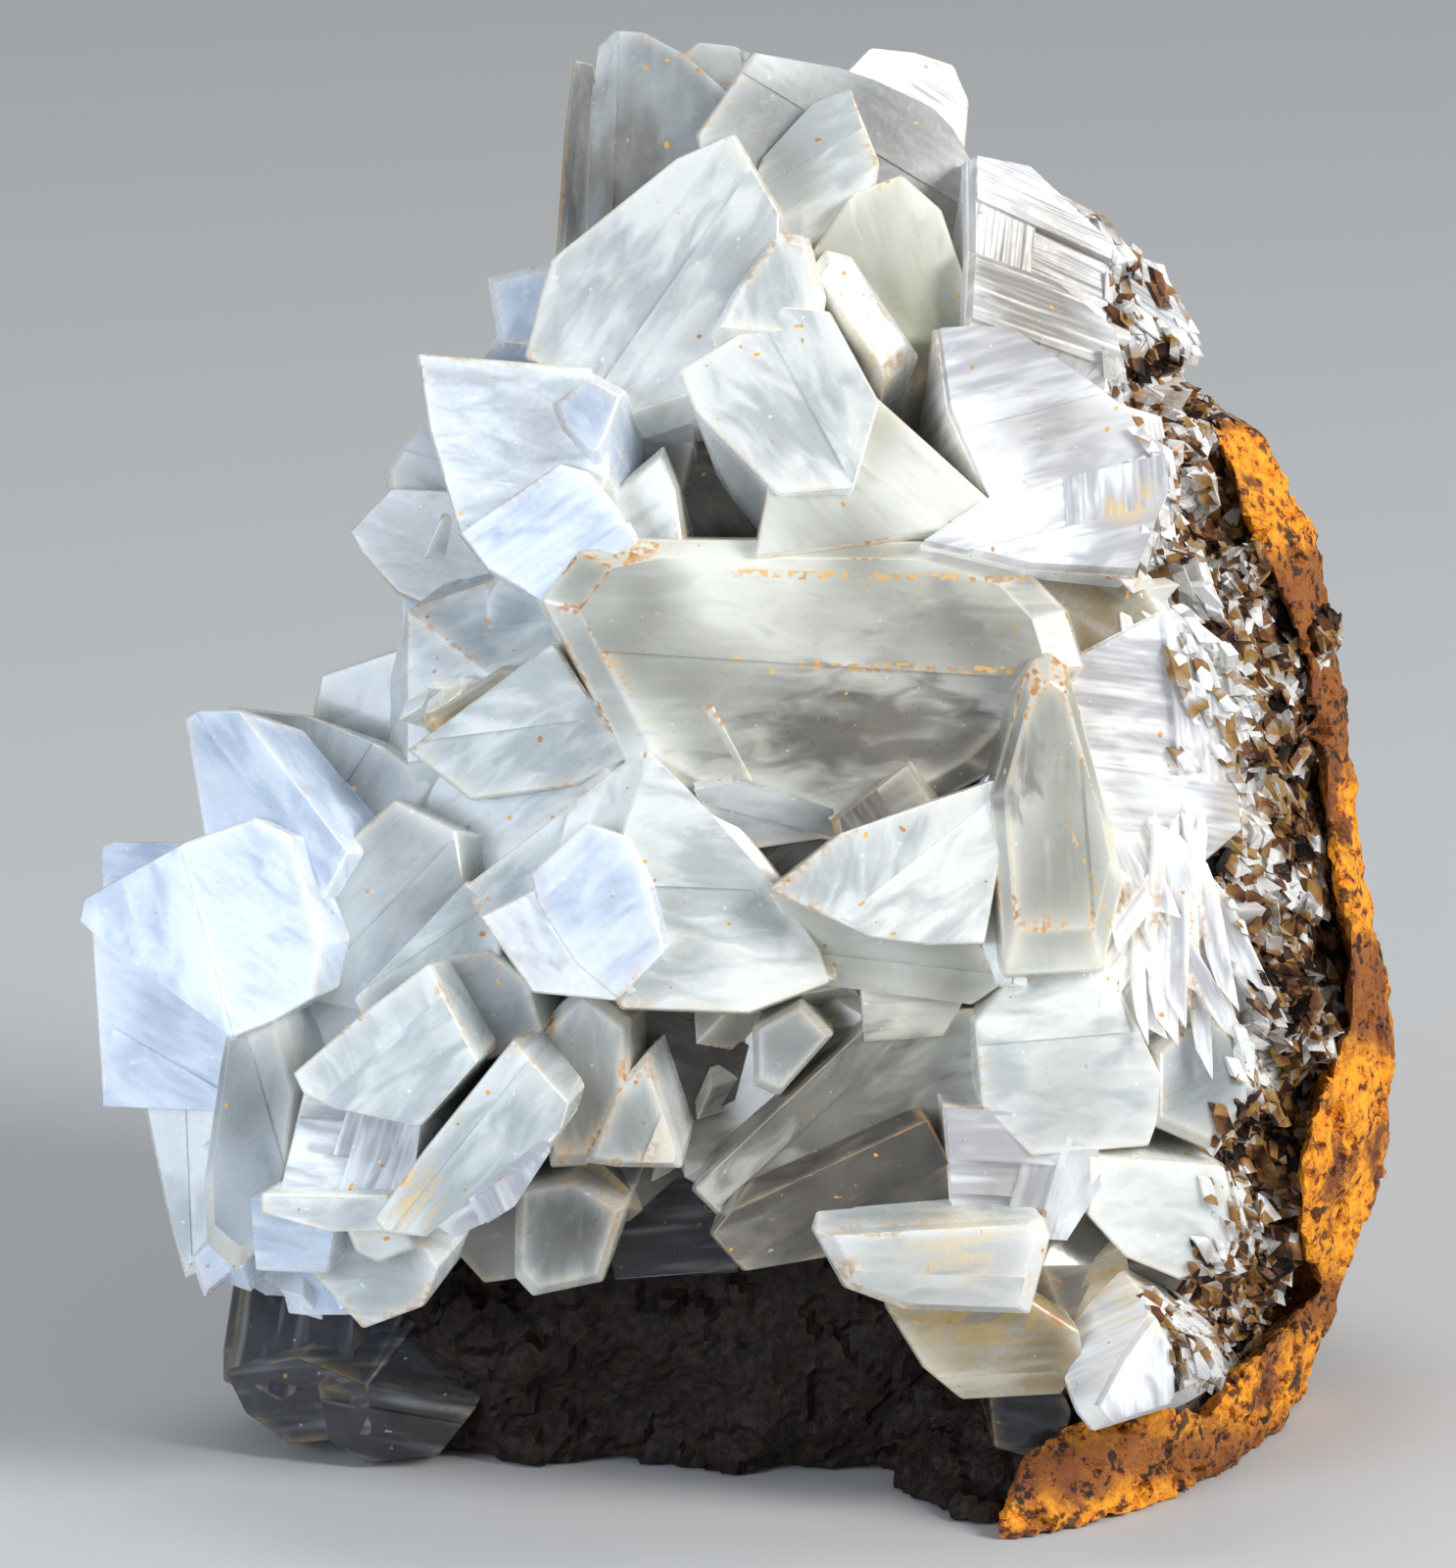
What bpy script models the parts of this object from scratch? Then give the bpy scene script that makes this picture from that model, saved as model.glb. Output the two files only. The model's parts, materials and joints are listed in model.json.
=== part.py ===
"""A hand specimen of calcite: milky rhombohedral crystals on brown ironstone with an orange limonite crust.

The three pieces are laid out on the specimen's face, in millimetres: "across" runs to the right, "up" runs
up the face and "out" runs towards the person who looks at it. The face leans back by FACE_LEAN, so the
whole layout is turned by that angle at the end and cut flat where the specimen stands.
"""

import math
import random
from typing import NamedTuple

import bmesh
import bpy
from mathutils import Matrix, Vector, noise

MM = 0.001

# Driving dimensions, in millimetres and degrees.
FACE_LEAN = 15.0
BASE_GAP = 0.3
FOOT_GAP = 0.6
MERGE = 0.0001
FLATNESS = 0.002
HEART = Vector((6.0, 56.0, -24.0))
ROOT_DEPTH = -20.0
ROOT_PULL = 0.42
ROOT_SIZE = 0.4
ROOT_CLEAR = 9.0
RIM_SIZE = 1.03
CAP_RISE = 1.1

CALCITE_COLOUR = (0.82, 0.86, 0.88)
CALCITE_ROUGHNESS = 0.25
ROCK_COLOUR = (0.16, 0.09, 0.06)
ROCK_ROUGHNESS = 0.8
CRUST_COLOUR = (0.72, 0.30, 0.03)
CRUST_ROUGHNESS = 0.9


class Crystal(NamedTuple):
    """One crystal: the outline of its end face, how far out that face stands and how its face is turned.

    The crystal is as thick as a tablet. A cap below 1 draws its end face in and leaves a bevel around it.
    """

    name: str
    out: float
    turn: tuple
    outline: tuple
    thick: float = 4.0
    cap: float = 1.0


# Crystals of the crest, from the top down to the broad blade in the middle.
CREST = (
    Crystal("crest_edge_plate", -13, (-0.5, 0.1),
            ((-13.2, 120.4), (-11.5, 119.9), (-11, 116), (-12, 104), (-14.7, 104), (-13.9, 115.2))),
    Crystal("crest_point", -11, (-0.25, 0.3),
            ((-11.2, 121.4), (-9.8, 122.8), (-7.5, 122.6), (-4.2, 120.8), (-0.2, 117.2), (0.4, 113),
             (-4, 107), (-12.2, 103), (-11.8, 117))),
    Crystal("crest_back_left", -18, (0.1, 0.4),
            ((-4.6, 120.8), (-3, 122.1), (-0.1, 121.8), (2, 120.8), (4, 114.2), (-1.8, 113.6))),
    Crystal("crest_plate", -11, (0.3, 0.2),
            ((1.6, 120.8), (8.7, 119.6), (11.5, 118.7), (16.2, 116.5), (17.9, 114.8), (20.3, 110.2),
             (19.7, 107.8), (19.1, 102.6), (8, 100), (-2, 106), (-3, 114))),
    Crystal("crest_knob", -17, (0.45, 0.25),
            ((9.2, 119.4), (11.2, 121.5), (14.8, 121.2), (18, 120.2), (19.2, 117.4), (18.9, 113.6),
             (14.2, 112), (9.5, 115))),
    Crystal("crest_tooth", -7.5, (-0.12, 0.34),
            ((9.4, 117.8), (10.6, 114.1), (11.7, 111.8), (10.2, 107.6), (4, 103.8), (0.6, 107),
             (2.2, 112), (6.4, 116.6))),
    Crystal("upper_broad_face", -2, (-0.22, 0.2),
            ((-15, 103.6), (-11, 106.8), (-4.8, 111.8), (-0.2, 113.8), (3.6, 107.4), (3.4, 101),
             (-2, 93.2), (-8.8, 91), (-13.2, 93.6), (-17, 95.8)), 5.0),
    Crystal("upper_green_face", -5.5, (0.28, 0.05),
            ((9.6, 109), (13.6, 110.6), (16.8, 107.8), (20, 98.6), (18, 95.4), (14, 92.8), (8.8, 97.2),
             (6.2, 104))),
    Crystal("upper_narrow_blade", -2, (0.35, 0.3),
            ((5.9, 102.4), (7.4, 104.4), (9.4, 103.9), (14.9, 95.8), (12.2, 93.6)), 3.0, 0.8),
    Crystal("upper_small_face", 0.5, (0.1, 0.38),
            ((-1.9, 97.4), (-0.1, 100.9), (2.4, 102.6), (3.5, 106), (6, 105.3), (7.4, 100.4), (4.5, 96.9)),
            3.0, 0.85),
    Crystal("long_blade_head", 3.5, (-0.06, 0.16),
            ((-4.5, 94.4), (-1.8, 96), (4, 99.6), (7.6, 99.2), (11.6, 91.8), (9.6, 85), (3.4, 84.5),
             (-3.2, 91.2)), 4.5),
    Crystal("long_blade_tail", 3.2, (0.1, 0.1),
            ((4, 92.5), (10.6, 93), (20.8, 83.8), (18.8, 82.2), (11.2, 80.6), (1.7, 79.4), (3.2, 84.5)),
            4.5),
    Crystal("smoky_recess", -6, (0.2, -0.1),
            ((-5, 92), (-0.8, 92), (4.2, 85.5), (2.7, 79.2), (-4.4, 79.4), (-5.8, 85.8))),
    Crystal("recess_wedge", -1.5, (-0.3, 0.05),
            ((-10.6, 84.4), (-5.8, 88.4), (-4.5, 85.2), (-3.7, 79.4), (-8.8, 79.4), (-10, 82.4)), 3.0, 0.84),
    Crystal("recess_back", -4, (-0.1, -0.2),
            ((-11.4, 92.8), (-3.5, 93), (-3.4, 89), (-4.6, 83.8), (-10.4, 83.6), (-12, 87.4))),
    Crystal("bright_tooth", 1.5, (-0.3, 0.42),
            ((-14.9, 91.8), (-12, 94.6), (-8.8, 92.8), (-10, 89.4), (-10.9, 87.6), (-11.6, 87.2),
             (-14.2, 90)), 3.0, 0.82),
)

# Crystals of the left shoulder, behind and beside the bay in the outline.
SHOULDER = (
    Crystal("shoulder_plate", -1, (-0.42, 0.06),
            ((-25.8, 96), (-23.8, 95.8), (-11.8, 94.7), (-10.4, 90.8), (-10.2, 86), (-12, 83),
             (-20.6, 81), (-22.1, 81), (-24.8, 89.8)), 4.5),
    Crystal("shoulder_lower_plate", 2, (-0.3, -0.12),
            ((-22.3, 81.4), (-14.2, 86.9), (-11.8, 86.2), (-9.6, 83.4), (-8, 80.5), (-12, 78.2),
             (-15.5, 75.8), (-20, 78.4))),
    Crystal("shoulder_spur", -12, (-0.3, 0.4),
            ((-20.3, 102.5), (-18.4, 102.4), (-14.6, 103.8), (-13.2, 101), (-14.4, 96), (-19.2, 96.4),
             (-19.8, 99.4)), 3.0, 0.8),
    Crystal("shoulder_spur_low", -10, (-0.4, 0.2),
            ((-21.2, 94.6), (-19.6, 97.6), (-16.8, 97.4), (-14.2, 95.4), (-17, 92))),
    Crystal("bay_upper", -14, (-0.5, 0.1),
            ((-24.4, 91.4), (-27, 89.2), (-28.8, 86.7), (-28.2, 83.8), (-20.6, 81.6), (-20, 88.4)), 4.0, 0.86),
    Crystal("bay_lower", -11, (-0.36, -0.12),
            ((-31.5, 81.7), (-28, 85.2), (-20.4, 84.8), (-19.4, 80.2), (-18, 76.8), (-22.7, 74.6),
             (-27.7, 76.7), (-30.7, 80.1))),
    Crystal("bay_glint", -15, (-0.1, 0.5),
            ((-27.3, 76.9), (-21, 76.8), (-20.4, 71.6), (-27.2, 72))),
    Crystal("bay_floor_plate", -13, (-0.3, -0.1),
            ((-33.9, 69.9), (-30.6, 70.8), (-27, 72.2), (-21.2, 71.6), (-22.8, 63.2), (-28.8, 61),
             (-31.6, 62.6), (-34.7, 66.2))),
    Crystal("bay_step", -8, (-0.3, 0.3),
            ((-25.6, 67.2), (-24.2, 69.7), (-20.4, 72.2), (-17.8, 70.2), (-23.6, 65.4)), 3.0, 0.85),
    Crystal("bay_upright", -6, (-0.1, 0.1),
            ((-20.4, 76.2), (-19.2, 78.8), (-14.5, 77), (-14, 73), (-18, 70), (-20.6, 71.8)), 3.0, 0.85),
    Crystal("middle_rhomb_back", -1.5, (-0.22, 0.34),
            ((-25.8, 66.2), (-18.8, 70.6), (-16.8, 70.4), (-16.5, 68.6), (-24, 64.6)), 2.0, 0.86),
    Crystal("middle_rhomb", 1.2, (-0.16, -0.14),
            ((-26.4, 63.8), (-22.9, 66.2), (-14.7, 72.4), (-13, 69.4), (-8.5, 63.3), (-13, 60.9),
             (-21.4, 59.8))),
    Crystal("under_rhomb", -6, (-0.05, -0.3),
            ((-26.6, 62.8), (-21.4, 62), (-12, 62.2), (-12.2, 56), (-18, 53.4), (-25.8, 57.6))),
)

# Crystals of the left wing, which hangs out beyond the rock.
LEFT_WING = (
    Crystal("wing_crown_front", -5, (-0.55, 0.12),
            ((-44.9, 66.3), (-43.8, 66.9), (-40.4, 66.9), (-31.4, 55.4), (-33.4, 51.6), (-39, 55.8),
             (-42.9, 55), (-44, 61))),
    Crystal("wing_crown_back", -8, (-0.35, 0.2),
            ((-41.4, 67.2), (-34.9, 66.5), (-28.7, 64), (-24.8, 61), (-29.2, 54.4), (-34.4, 54))),
    Crystal("wing_tip_back", -10, (-0.5, 0.3),
            ((-51.7, 55.8), (-50.6, 56.2), (-43.6, 56.1), (-43, 50), (-51.8, 50.8))),
    Crystal("wing_big_face", -2.5, (-0.4, 0.14),
            ((-53.4, 49.8), (-53, 51.6), (-51.6, 51.8), (-44.8, 56.2), (-39.1, 58.2), (-36, 56.8),
             (-33.4, 48), (-34.3, 43.6), (-37.4, 41.8), (-40.9, 40.4), (-52, 48.6)), 5.0),
    Crystal("wing_lower_face", -5, (-0.42, -0.12),
            ((-52.4, 49), (-40, 42), (-41.7, 34.4), (-51.5, 34.7), (-50.8, 36.6), (-49.8, 38.4),
             (-51, 42.6)), 5.0),
    Crystal("wing_long_point", -8.5, (-0.45, -0.1),
            ((-48.4, 35.6), (-41.7, 35.7), (-41.2, 22.6), (-44.9, 20.6), (-46.6, 26.8)), 4.0, 0.86),
    Crystal("wing_pillar", -2.5, (-0.15, -0.04),
            ((-41.3, 42.2), (-37, 44), (-35, 37), (-36.6, 25.4), (-40.4, 21.4), (-42.9, 23.6),
             (-43.1, 29)), 5.0, 0.8),
    Crystal("wing_pillar_tip", -6, (-0.3, -0.3),
            ((-44.4, 22.4), (-43.3, 19.1), (-39.6, 22.2), (-41, 25.8)), 3.0, 0.8),
    Crystal("pentagon_face", -1, (-0.18, 0.06),
            ((-35.1, 52.9), (-27.7, 59.6), (-22.7, 57.2), (-21.9, 51.6), (-24.6, 47.2), (-29.2, 42.4),
             (-34.7, 43.6)), 4.5),
    Crystal("pentagon_filler", -4, (-0.3, -0.2),
            ((-38.4, 43.6), (-33.2, 49.2), (-28.8, 43.4), (-31.4, 38.2), (-35.4, 35.6), (-37, 37))),
    Crystal("slope_strip", 2.2, (-0.12, -0.16),
            ((-30.8, 43.6), (-22.9, 51.8), (-21.8, 53), (-19.4, 50.6), (-19, 46), (-24.5, 45.2),
             (-29.8, 41.6)), 3.5),
)

# Crystals in the middle, which stand furthest out.
MIDDLE = (
    Crystal("broad_blade", 3.2, (0.02, 0.05),
            ((-15.6, 75.9), (-12.6, 79.8), (-8, 80.8), (1.3, 80.2), (16.8, 80.6), (23.8, 78.2),
             (26.8, 75), (28.2, 70.4), (24.8, 66), (20.8, 62), (15.2, 59), (8.8, 56.4), (-0.4, 57.6),
             (-5.6, 60.8), (-8.6, 62.6), (-12, 69)), 5.0, 0.86),
    Crystal("blade_step", 4.4, (-0.2, -0.08),
            ((-5.9, 67.2), (-1.8, 67.4), (1.6, 61), (0, 57.4), (-3, 60.4)), 2.5),
    Crystal("pale_ledge", 5.2, (0.1, -0.42),
            ((-3.3, 60.6), (-0.2, 61.2), (8, 59), (8.4, 56.8), (-1, 55.4)), 2.5),
    Crystal("small_wedge", 5.6, (0.3, 0.2),
            ((7.8, 58.2), (14.3, 63.2), (17.4, 58.6), (12.8, 56.4), (8.3, 55.8)), 3.0, 0.86),
    Crystal("grey_green_wedge", 2.6, (0.1, 0.05),
            ((-1.8, 56.2), (2.9, 58.6), (8.4, 58.5), (9, 55.8), (3.3, 51.4), (0.6, 52)), 3.0),
    Crystal("ridge_wing", 5, (-0.3, 0.22),
            ((-21.9, 52.6), (-7.6, 63.7), (-6.4, 61.8), (-8, 55.6), (-12, 54.4), (-16.2, 51.8),
             (-20.4, 50))),
    Crystal("bright_rhomb", 10.5, (-0.14, 0.16),
            ((-16.4, 53.8), (-12, 57.8), (-8.9, 56.8), (-7, 53), (-5.7, 47.5), (-9.4, 43.8),
             (-12.8, 46.6), (-15.9, 51.4))),
    Crystal("bright_rhomb_side", 8, (-0.42, -0.05),
            ((-20.6, 50.3), (-15, 53), (-8.4, 44.2), (-9.6, 43.6), (-16.3, 44.2)), 3.5),
    Crystal("central_face", 7, (0.16, 0.12),
            ((-9.2, 56.8), (-7, 63.6), (-3.2, 60), (3.2, 52.8), (6.8, 47.7), (7.6, 45), (1.1, 42.6),
             (-9, 43), (-12, 47)), 5.0),
    Crystal("central_side_strip", 5.2, (0.45, 0.3),
            ((-3.4, 60.6), (-1.6, 60), (8.4, 47.8), (8.2, 45.2), (6, 45)), 3.0),
    Crystal("diamond_face", 9.2, (0.05, 0.1),
            ((2.8, 52.5), (8.5, 57), (15.4, 57.8), (21.2, 61.4), (21.6, 56.4), (20, 48.2), (15.4, 48.1),
             (11, 48.7), (9.2, 50)), 3.5),
    Crystal("upright_prism", 7.4, (0.3, -0.04),
            ((23.3, 69.8), (24, 71), (25.4, 71.4), (26.8, 70.5), (27.4, 67.4), (30.5, 57), (31.3, 53),
             (29.7, 46), (21.8, 45.6), (20.6, 60), (22.8, 65)), 4.0, 0.78),
    Crystal("upright_prism_flank", 5.4, (-0.3, -0.02),
            ((19.4, 60), (23.2, 66), (24.4, 66), (23.6, 44.6), (21.2, 44.8), (19.2, 50)), 3.0),
    Crystal("diamond_underside", 4.8, (0, -0.4),
            ((2.8, 52.2), (9.8, 49.9), (19.3, 48.8), (21.8, 45), (19.2, 43.2), (12, 45.4), (7.2, 44.8),
             (5.2, 49)), 3.0),
    Crystal("filler_under_wing", 2.8, (-0.2, -0.1),
            ((-24.8, 46.8), (-20, 47.6), (-16.8, 45), (-15.6, 41), (-17.9, 39.4), (-21.4, 38.2)),
            3.5),
    Crystal("left_diamond", 6, (-0.16, 0.08),
            ((-35.6, 37.6), (-30.2, 42.3), (-24.8, 46.4), (-20.8, 38.6), (-25.4, 33.4), (-32.3, 34.8),
             (-34.8, 36))),
    Crystal("sparkling_face", 3.4, (-0.08, -0.28),
            ((-34.7, 36.4), (-25, 35), (-25.6, 30.6), (-27, 27), (-36.8, 28))),
    Crystal("front_diamond", 9, (0.05, 0.06),
            ((-29, 26), (-24.9, 31.6), (-17.9, 40.3), (-13.4, 35.3), (-14, 33.2), (-21.6, 28.2),
             (-24.9, 24.6), (-28.2, 25))),
    Crystal("front_diamond_foot", 6.8, (0.1, -0.5),
            ((-25.2, 26), (-17.6, 31), (-14.2, 33), (-17.6, 27.8), (-20.8, 25.8), (-23.2, 24.6)),
            2.5, 0.86),
    Crystal("ledge_strip", 6, (-0.05, 0.3),
            ((-38.2, 27.9), (-28, 27.8), (-27.6, 25), (-32.8, 24.9), (-38.2, 26.4)), 3.0),
    Crystal("ledge_block", 2.4, (-0.2, -0.2),
            ((-39.2, 27.4), (-32, 26.8), (-33, 21.4), (-38.8, 21.6))),
    Crystal("curled_chip", 4.5, (0.1, -0.1),
            ((-31.8, 26), (-26.4, 25.2), (-25.6, 23.6), (-28.8, 22.3), (-30.6, 23.2)), 2.5, 0.86),
    Crystal("hanging_point", 0, (-0.05, -0.3),
            ((-34.8, 22), (-32.3, 24.8), (-26, 24.8), (-24.1, 21.8), (-25.4, 18.6), (-30.2, 16.8),
             (-32, 18.8))),
)

# Crystals below the middle, in the half shade, and the silky and stained ones at the lower right.
LOWER = (
    Crystal("clear_block", -1.5, (-0.1, -0.12),
            ((-17.8, 28.4), (-13.2, 29.4), (-8.8, 26.8), (-10.8, 20.6), (-16.4, 19.4), (-17.9, 21)),
            4.0, 0.85),
    Crystal("clear_block_left", -4, (-0.2, -0.2),
            ((-25, 25.4), (-16.6, 27), (-16.2, 21), (-20.4, 20.4))),
    Crystal("twisted_rhomb", 1.6, (-0.22, 0.02),
            ((-16.4, 41), (-12.3, 44.9), (-8.4, 42), (-8.6, 35.4), (-12, 30.2), (-14.9, 30),
             (-14.4, 33.8)), 3.5, 0.86),
    Crystal("small_pyramid", 2, (0.14, -0.08),
            ((-12.2, 30.4), (-9.8, 36.3), (-7, 39.4), (-4.3, 31.1), (-4.4, 29.9), (-9.6, 30)), 3.5, 0.84),
    Crystal("smoky_block", -3.5, (0.1, -0.12),
            ((-9.8, 44), (-2.4, 45), (5, 42), (3, 36.6), (-4.8, 33), (-8.8, 37.4))),
    Crystal("dark_recess", -8, (0, -0.1),
            ((-6.8, 34.4), (4.6, 39), (7.6, 35.6), (2.8, 28.8), (-3, 27.2), (-10, 28))),
    Crystal("dark_amber", -7, (-0.1, 0.2),
            ((-10.8, 30), (-1.4, 30.4), (1, 26.8), (0.2, 21.4), (-9.8, 20.6))),
    Crystal("grey_shard", 1.8, (-0.2, 0),
            ((1.5, 41.4), (5.4, 43.6), (8, 40.8), (5, 37.9), (3.6, 35.8), (1.6, 36.6)), 3.0, 0.84),
    Crystal("pale_chip", 3, (0.1, 0.1),
            ((10.2, 44.4), (12.3, 46.8), (19.4, 44.9), (16.8, 40.6), (10.5, 40.2)), 3.0),
    Crystal("grey_slab", 0.6, (0.12, -0.3),
            ((-3.2, 28.2), (2.8, 34), (12, 42.6), (20.2, 42.8), (21, 33.8), (16.4, 32), (-0.4, 25.4)),
            4.5),
    Crystal("grey_slab_lower", 2.6, (0.15, -0.26),
            ((-1.8, 24.6), (-0.4, 26.4), (15.6, 33.8), (19.2, 27), (18.8, 24.6), (6.8, 24), (0.8, 21.6)),
            4.0),
    Crystal("clear_wedge", 5, (0.08, -0.12),
            ((6.4, 25), (24.8, 26), (25.4, 24.4), (23.8, 18.2), (13.6, 18.6), (9, 20.3)), 4.5, 0.85),
    Crystal("stained_wedge", 2, (0.12, -0.32),
            ((12.4, 18.6), (23.6, 19.4), (27.9, 16.6), (28.2, 14.4), (26.4, 11.6), (18.4, 11.2),
             (15.4, 13.7))),
    Crystal("white_spur", 3, (0.25, -0.05),
            ((27.8, 10.2), (30.4, 15), (33.4, 19.2), (35, 16.2), (38.7, 15.8), (39.4, 13), (36, 10.8),
             (29, 8.7)), 4.0, 0.8),
    Crystal("silky_face", 2.2, (0.05, -0.1),
            ((16.8, 35), (22, 34.8), (29.4, 31.6), (29.6, 28.6), (26.8, 24.2), (17.6, 24.8))),
    Crystal("silky_block", 2, (0.2, -0.2),
            ((28.7, 30.8), (35.2, 30.4), (39.6, 30), (40.7, 25.8), (39.8, 22.1), (36, 20.9), (31.7, 22.7),
             (28.7, 26))),
    Crystal("pale_mass", 4, (0.05, 0.02),
            ((19.4, 41.8), (23.2, 46.2), (30.4, 46), (32.2, 40.6), (35, 36.2), (33.4, 31.8), (24, 31),
             (20, 35)), 4.5),
    Crystal("glassy_block", 1.8, (0.25, 0.1),
            ((33.8, 39.8), (38, 43), (41.7, 40.2), (42, 35.2), (38.4, 31.4), (33.8, 33.4)), 4.0, 0.84),
    Crystal("amber_filler", -1, (0.1, -0.2),
            ((22.6, 19.6), (31.6, 23.4), (33, 17), (28.4, 14.4))),
    Crystal("foot_crystal", -4, (0.1, -0.1),
            ((20.4, 14.8), (25.8, 14), (27.4, 9.8), (26.4, 5.6), (21.2, 7))),
    Crystal("shaded_block", -20, (-0.4, 0.05),
            ((-42.2, 14.3), (-41, 22.5), (-35, 23), (-30.6, 17.8), (-30.4, 13.2), (-34, 11),
             (-37.4, 9.6), (-42.2, 11.8)), 5.0, 0.86),
    Crystal("shaded_block_low", -18, (-0.3, -0.2),
            ((-42, 12.6), (-35.9, 13.8), (-30.3, 11.6), (-30, 7.5), (-36.6, 6.6), (-40.3, 9.2)), 5.0),
    Crystal("shaded_shards", -17, (-0.05, -0.3),
            ((-34.3, 11.6), (-26.4, 10.2), (-21.4, 9.6), (-24.4, 5.8), (-30.4, 5.2), (-33.4, 7))),
)

# Broken white calcite of the right side, which split along its cleavage.
CLEAVED = (
    Crystal("cleaved_crest", -9, (0.4, 0.2),
            ((19, 112), (23.4, 111.2), (26.8, 108), (30.6, 104.6), (29.8, 97.6), (24, 99), (19, 101.4)),
            4.0),
    Crystal("cleaved_crest_low", -7, (0.3, -0.05),
            ((19, 104.4), (25.8, 102), (30.6, 98.2), (32.2, 92), (26.8, 93.6), (21.4, 96.7), (18.6, 96.8)),
            4.0),
    Crystal("cleaved_crest_outer", -16, (0.6, 0.2),
            ((28.4, 105.2), (33.6, 103.6), (34.5, 100.8), (37, 97.2), (35.2, 92.6), (29.2, 96.6))),
    Crystal("cleaved_rhomb", -0.5, (0.12, 0.12),
            ((16.3, 97.8), (19, 98), (22.2, 97.9), (26.9, 94.6), (31.6, 91.4), (34, 87.4), (30.6, 86),
             (20.7, 83.4), (17.2, 91.2))),
    Crystal("cleaved_wing", 2.2, (0.1, 0.3),
            ((15, 80.3), (20.6, 84), (34.8, 87.4), (35.2, 84.8), (32.4, 77.8), (27.9, 79), (23.6, 78.3)),
            3.5),
    Crystal("beige_block", 0.6, (0.2, -0.05),
            ((23.4, 78.6), (27.9, 80.3), (33.2, 76.8), (35.6, 73.2), (32.6, 70.6), (27.9, 69.6),
             (26, 74.9)), 3.5),
    Crystal("white_block", 0, (0.2, 0.02),
            ((26.4, 70.8), (34.4, 75), (37.4, 73.4), (39.9, 67.2), (40.8, 57.2), (37, 54), (30.9, 54.6),
             (28.6, 62.4)), 4.5),
    Crystal("white_spray", -0.6, (0.15, -0.12),
            ((30.8, 56.4), (36.8, 56), (39.6, 50.5), (42.6, 42.6), (37.8, 41.6), (34.4, 39),
             (31.2, 41), (29.6, 45.2))),
)

CRYSTALS = CREST + SHOULDER + LEFT_WING + MIDDLE + LOWER + CLEAVED


class Lump(NamedTuple):
    """A rounded lump, of the massive calcite that the crystals grew from or for a hollow in the rock."""

    middle: tuple
    radii: tuple


HEART_LUMPS = (
    Lump((-31, 42, -17), (19, 19, 13)),
    Lump((-36, 27, -14), (9.5, 9.5, 9.5)),
    Lump((-10, 62, -14), (23, 25, 16)),
    Lump((-14, 82, -17), (12, 15, 11)),
    Lump((6, 94, -18), (18, 22, 13)),
    Lump((14, 40, -11), (25, 21, 12)),
    Lump((-14, 36, -14), (19, 15, 13)),
    Lump((27, 66, -11), (12.5, 35, 10)),
    Lump((25, 22, -8), (14, 12.5, 9.5)),
    Lump((-33, 16, -27), (9.5, 9, 9)),
)


class Level(NamedTuple):
    """One level up the rock: how far it reaches to the left, right, back and front."""

    up: float
    left: float
    right: float
    back: float
    front: float


ROCK_LEVELS = (
    Level(-22, -22, 22, -52, -22),
    Level(-8, -27, 24, -57, -20),
    Level(0, -32, 29, -60, -18),
    Level(6, -36, 36, -61, -15),
    Level(14, -38, 43.5, -62, -12),
    Level(22, -34, 47.2, -62, -10),
    Level(34, -22, 49.8, -62, -8),
    Level(48, -13, 50.6, -60, -8),
    Level(62, -8, 49.2, -57, -7),
    Level(76, -5, 47.4, -53, -7),
    Level(88, -2, 43, -48, -9),
    Level(98, 1, 36.4, -42, -11),
    Level(106, 5, 29.4, -35, -13),
    Level(112, 9, 22.6, -29, -16),
)
CRUST_LEVELS = (
    Level(-22, -24, 26, -56, -19),
    Level(-8, -29, 28, -61, -17),
    Level(0, -34, 33, -64, -15),
    Level(6, -38, 41.5, -65, -12),
    Level(14, -40, 49.2, -66, -9),
    Level(22, -37, 52.4, -66, -7),
    Level(34, -25, 55.4, -66, -5),
    Level(44, -18, 54.8, -65, -5),
    Level(56, -12, 52.4, -62, -5),
    Level(68, -10, 51, -59, -4),
    Level(78, -8, 49.4, -56, -4),
    Level(88, -5, 45.4, -52, -6),
    Level(98, -2, 37.6, -46, -9),
    Level(106, 2, 30, -39, -12),
    Level(112, 6, 23, -33, -16),
)
ROCK_SQUARENESS = 2.3
ROCK_RINGS = 18
ROCK_SIDES = 28
ROCK_END_WIDENING = 6.0
ROCK_END_SIZE = 0.02
ROCK_LUMP_HEIGHT = 1.9
ROCK_LUMP_SPACING = 13.0
ROCK_GRAIN_HEIGHT = 1.1
ROCK_GRAIN_SPACING = 4.5
CRUST_LUMP_HEIGHT = 0.9
CRUST_GRAIN_HEIGHT = 0.9

# The foot that the rock stands forward on, and the crust around it, each as the corners of a boulder.
FOOT = (
    (18, -3, -1), (12, -1, -11), (28, -2, -5), (35, 0, -13), (42, 2, -24), (14, 0, -32), (44, 6, -42),
    (15, 14, -17), (25, 15, -11), (35, 14, -14), (42, 19, -26), (20, 22, -32),
)
FOOT_CRUST = (
    (19.5, -4, 2), (22, -4, 1.5), (29, -3, -4), (35.6, -1, -11), (41.3, 2, -20.5), (47.6, 8, -41),
    (48.9, 16, -30), (43, 15.6, -14), (36, 12, -6.5), (29, 10.6, -3.4), (23, 7, -0.5), (14, 4, -14),
    (16, 12, -40),
)

# The hollow under the hanging crystals at the foot of the face.
HOLLOW_MIDDLE = (-12, 4, -4)
HOLLOW_RADII = (21, 15, 15)
HOLLOW_ROUNDNESS = 3

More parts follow.
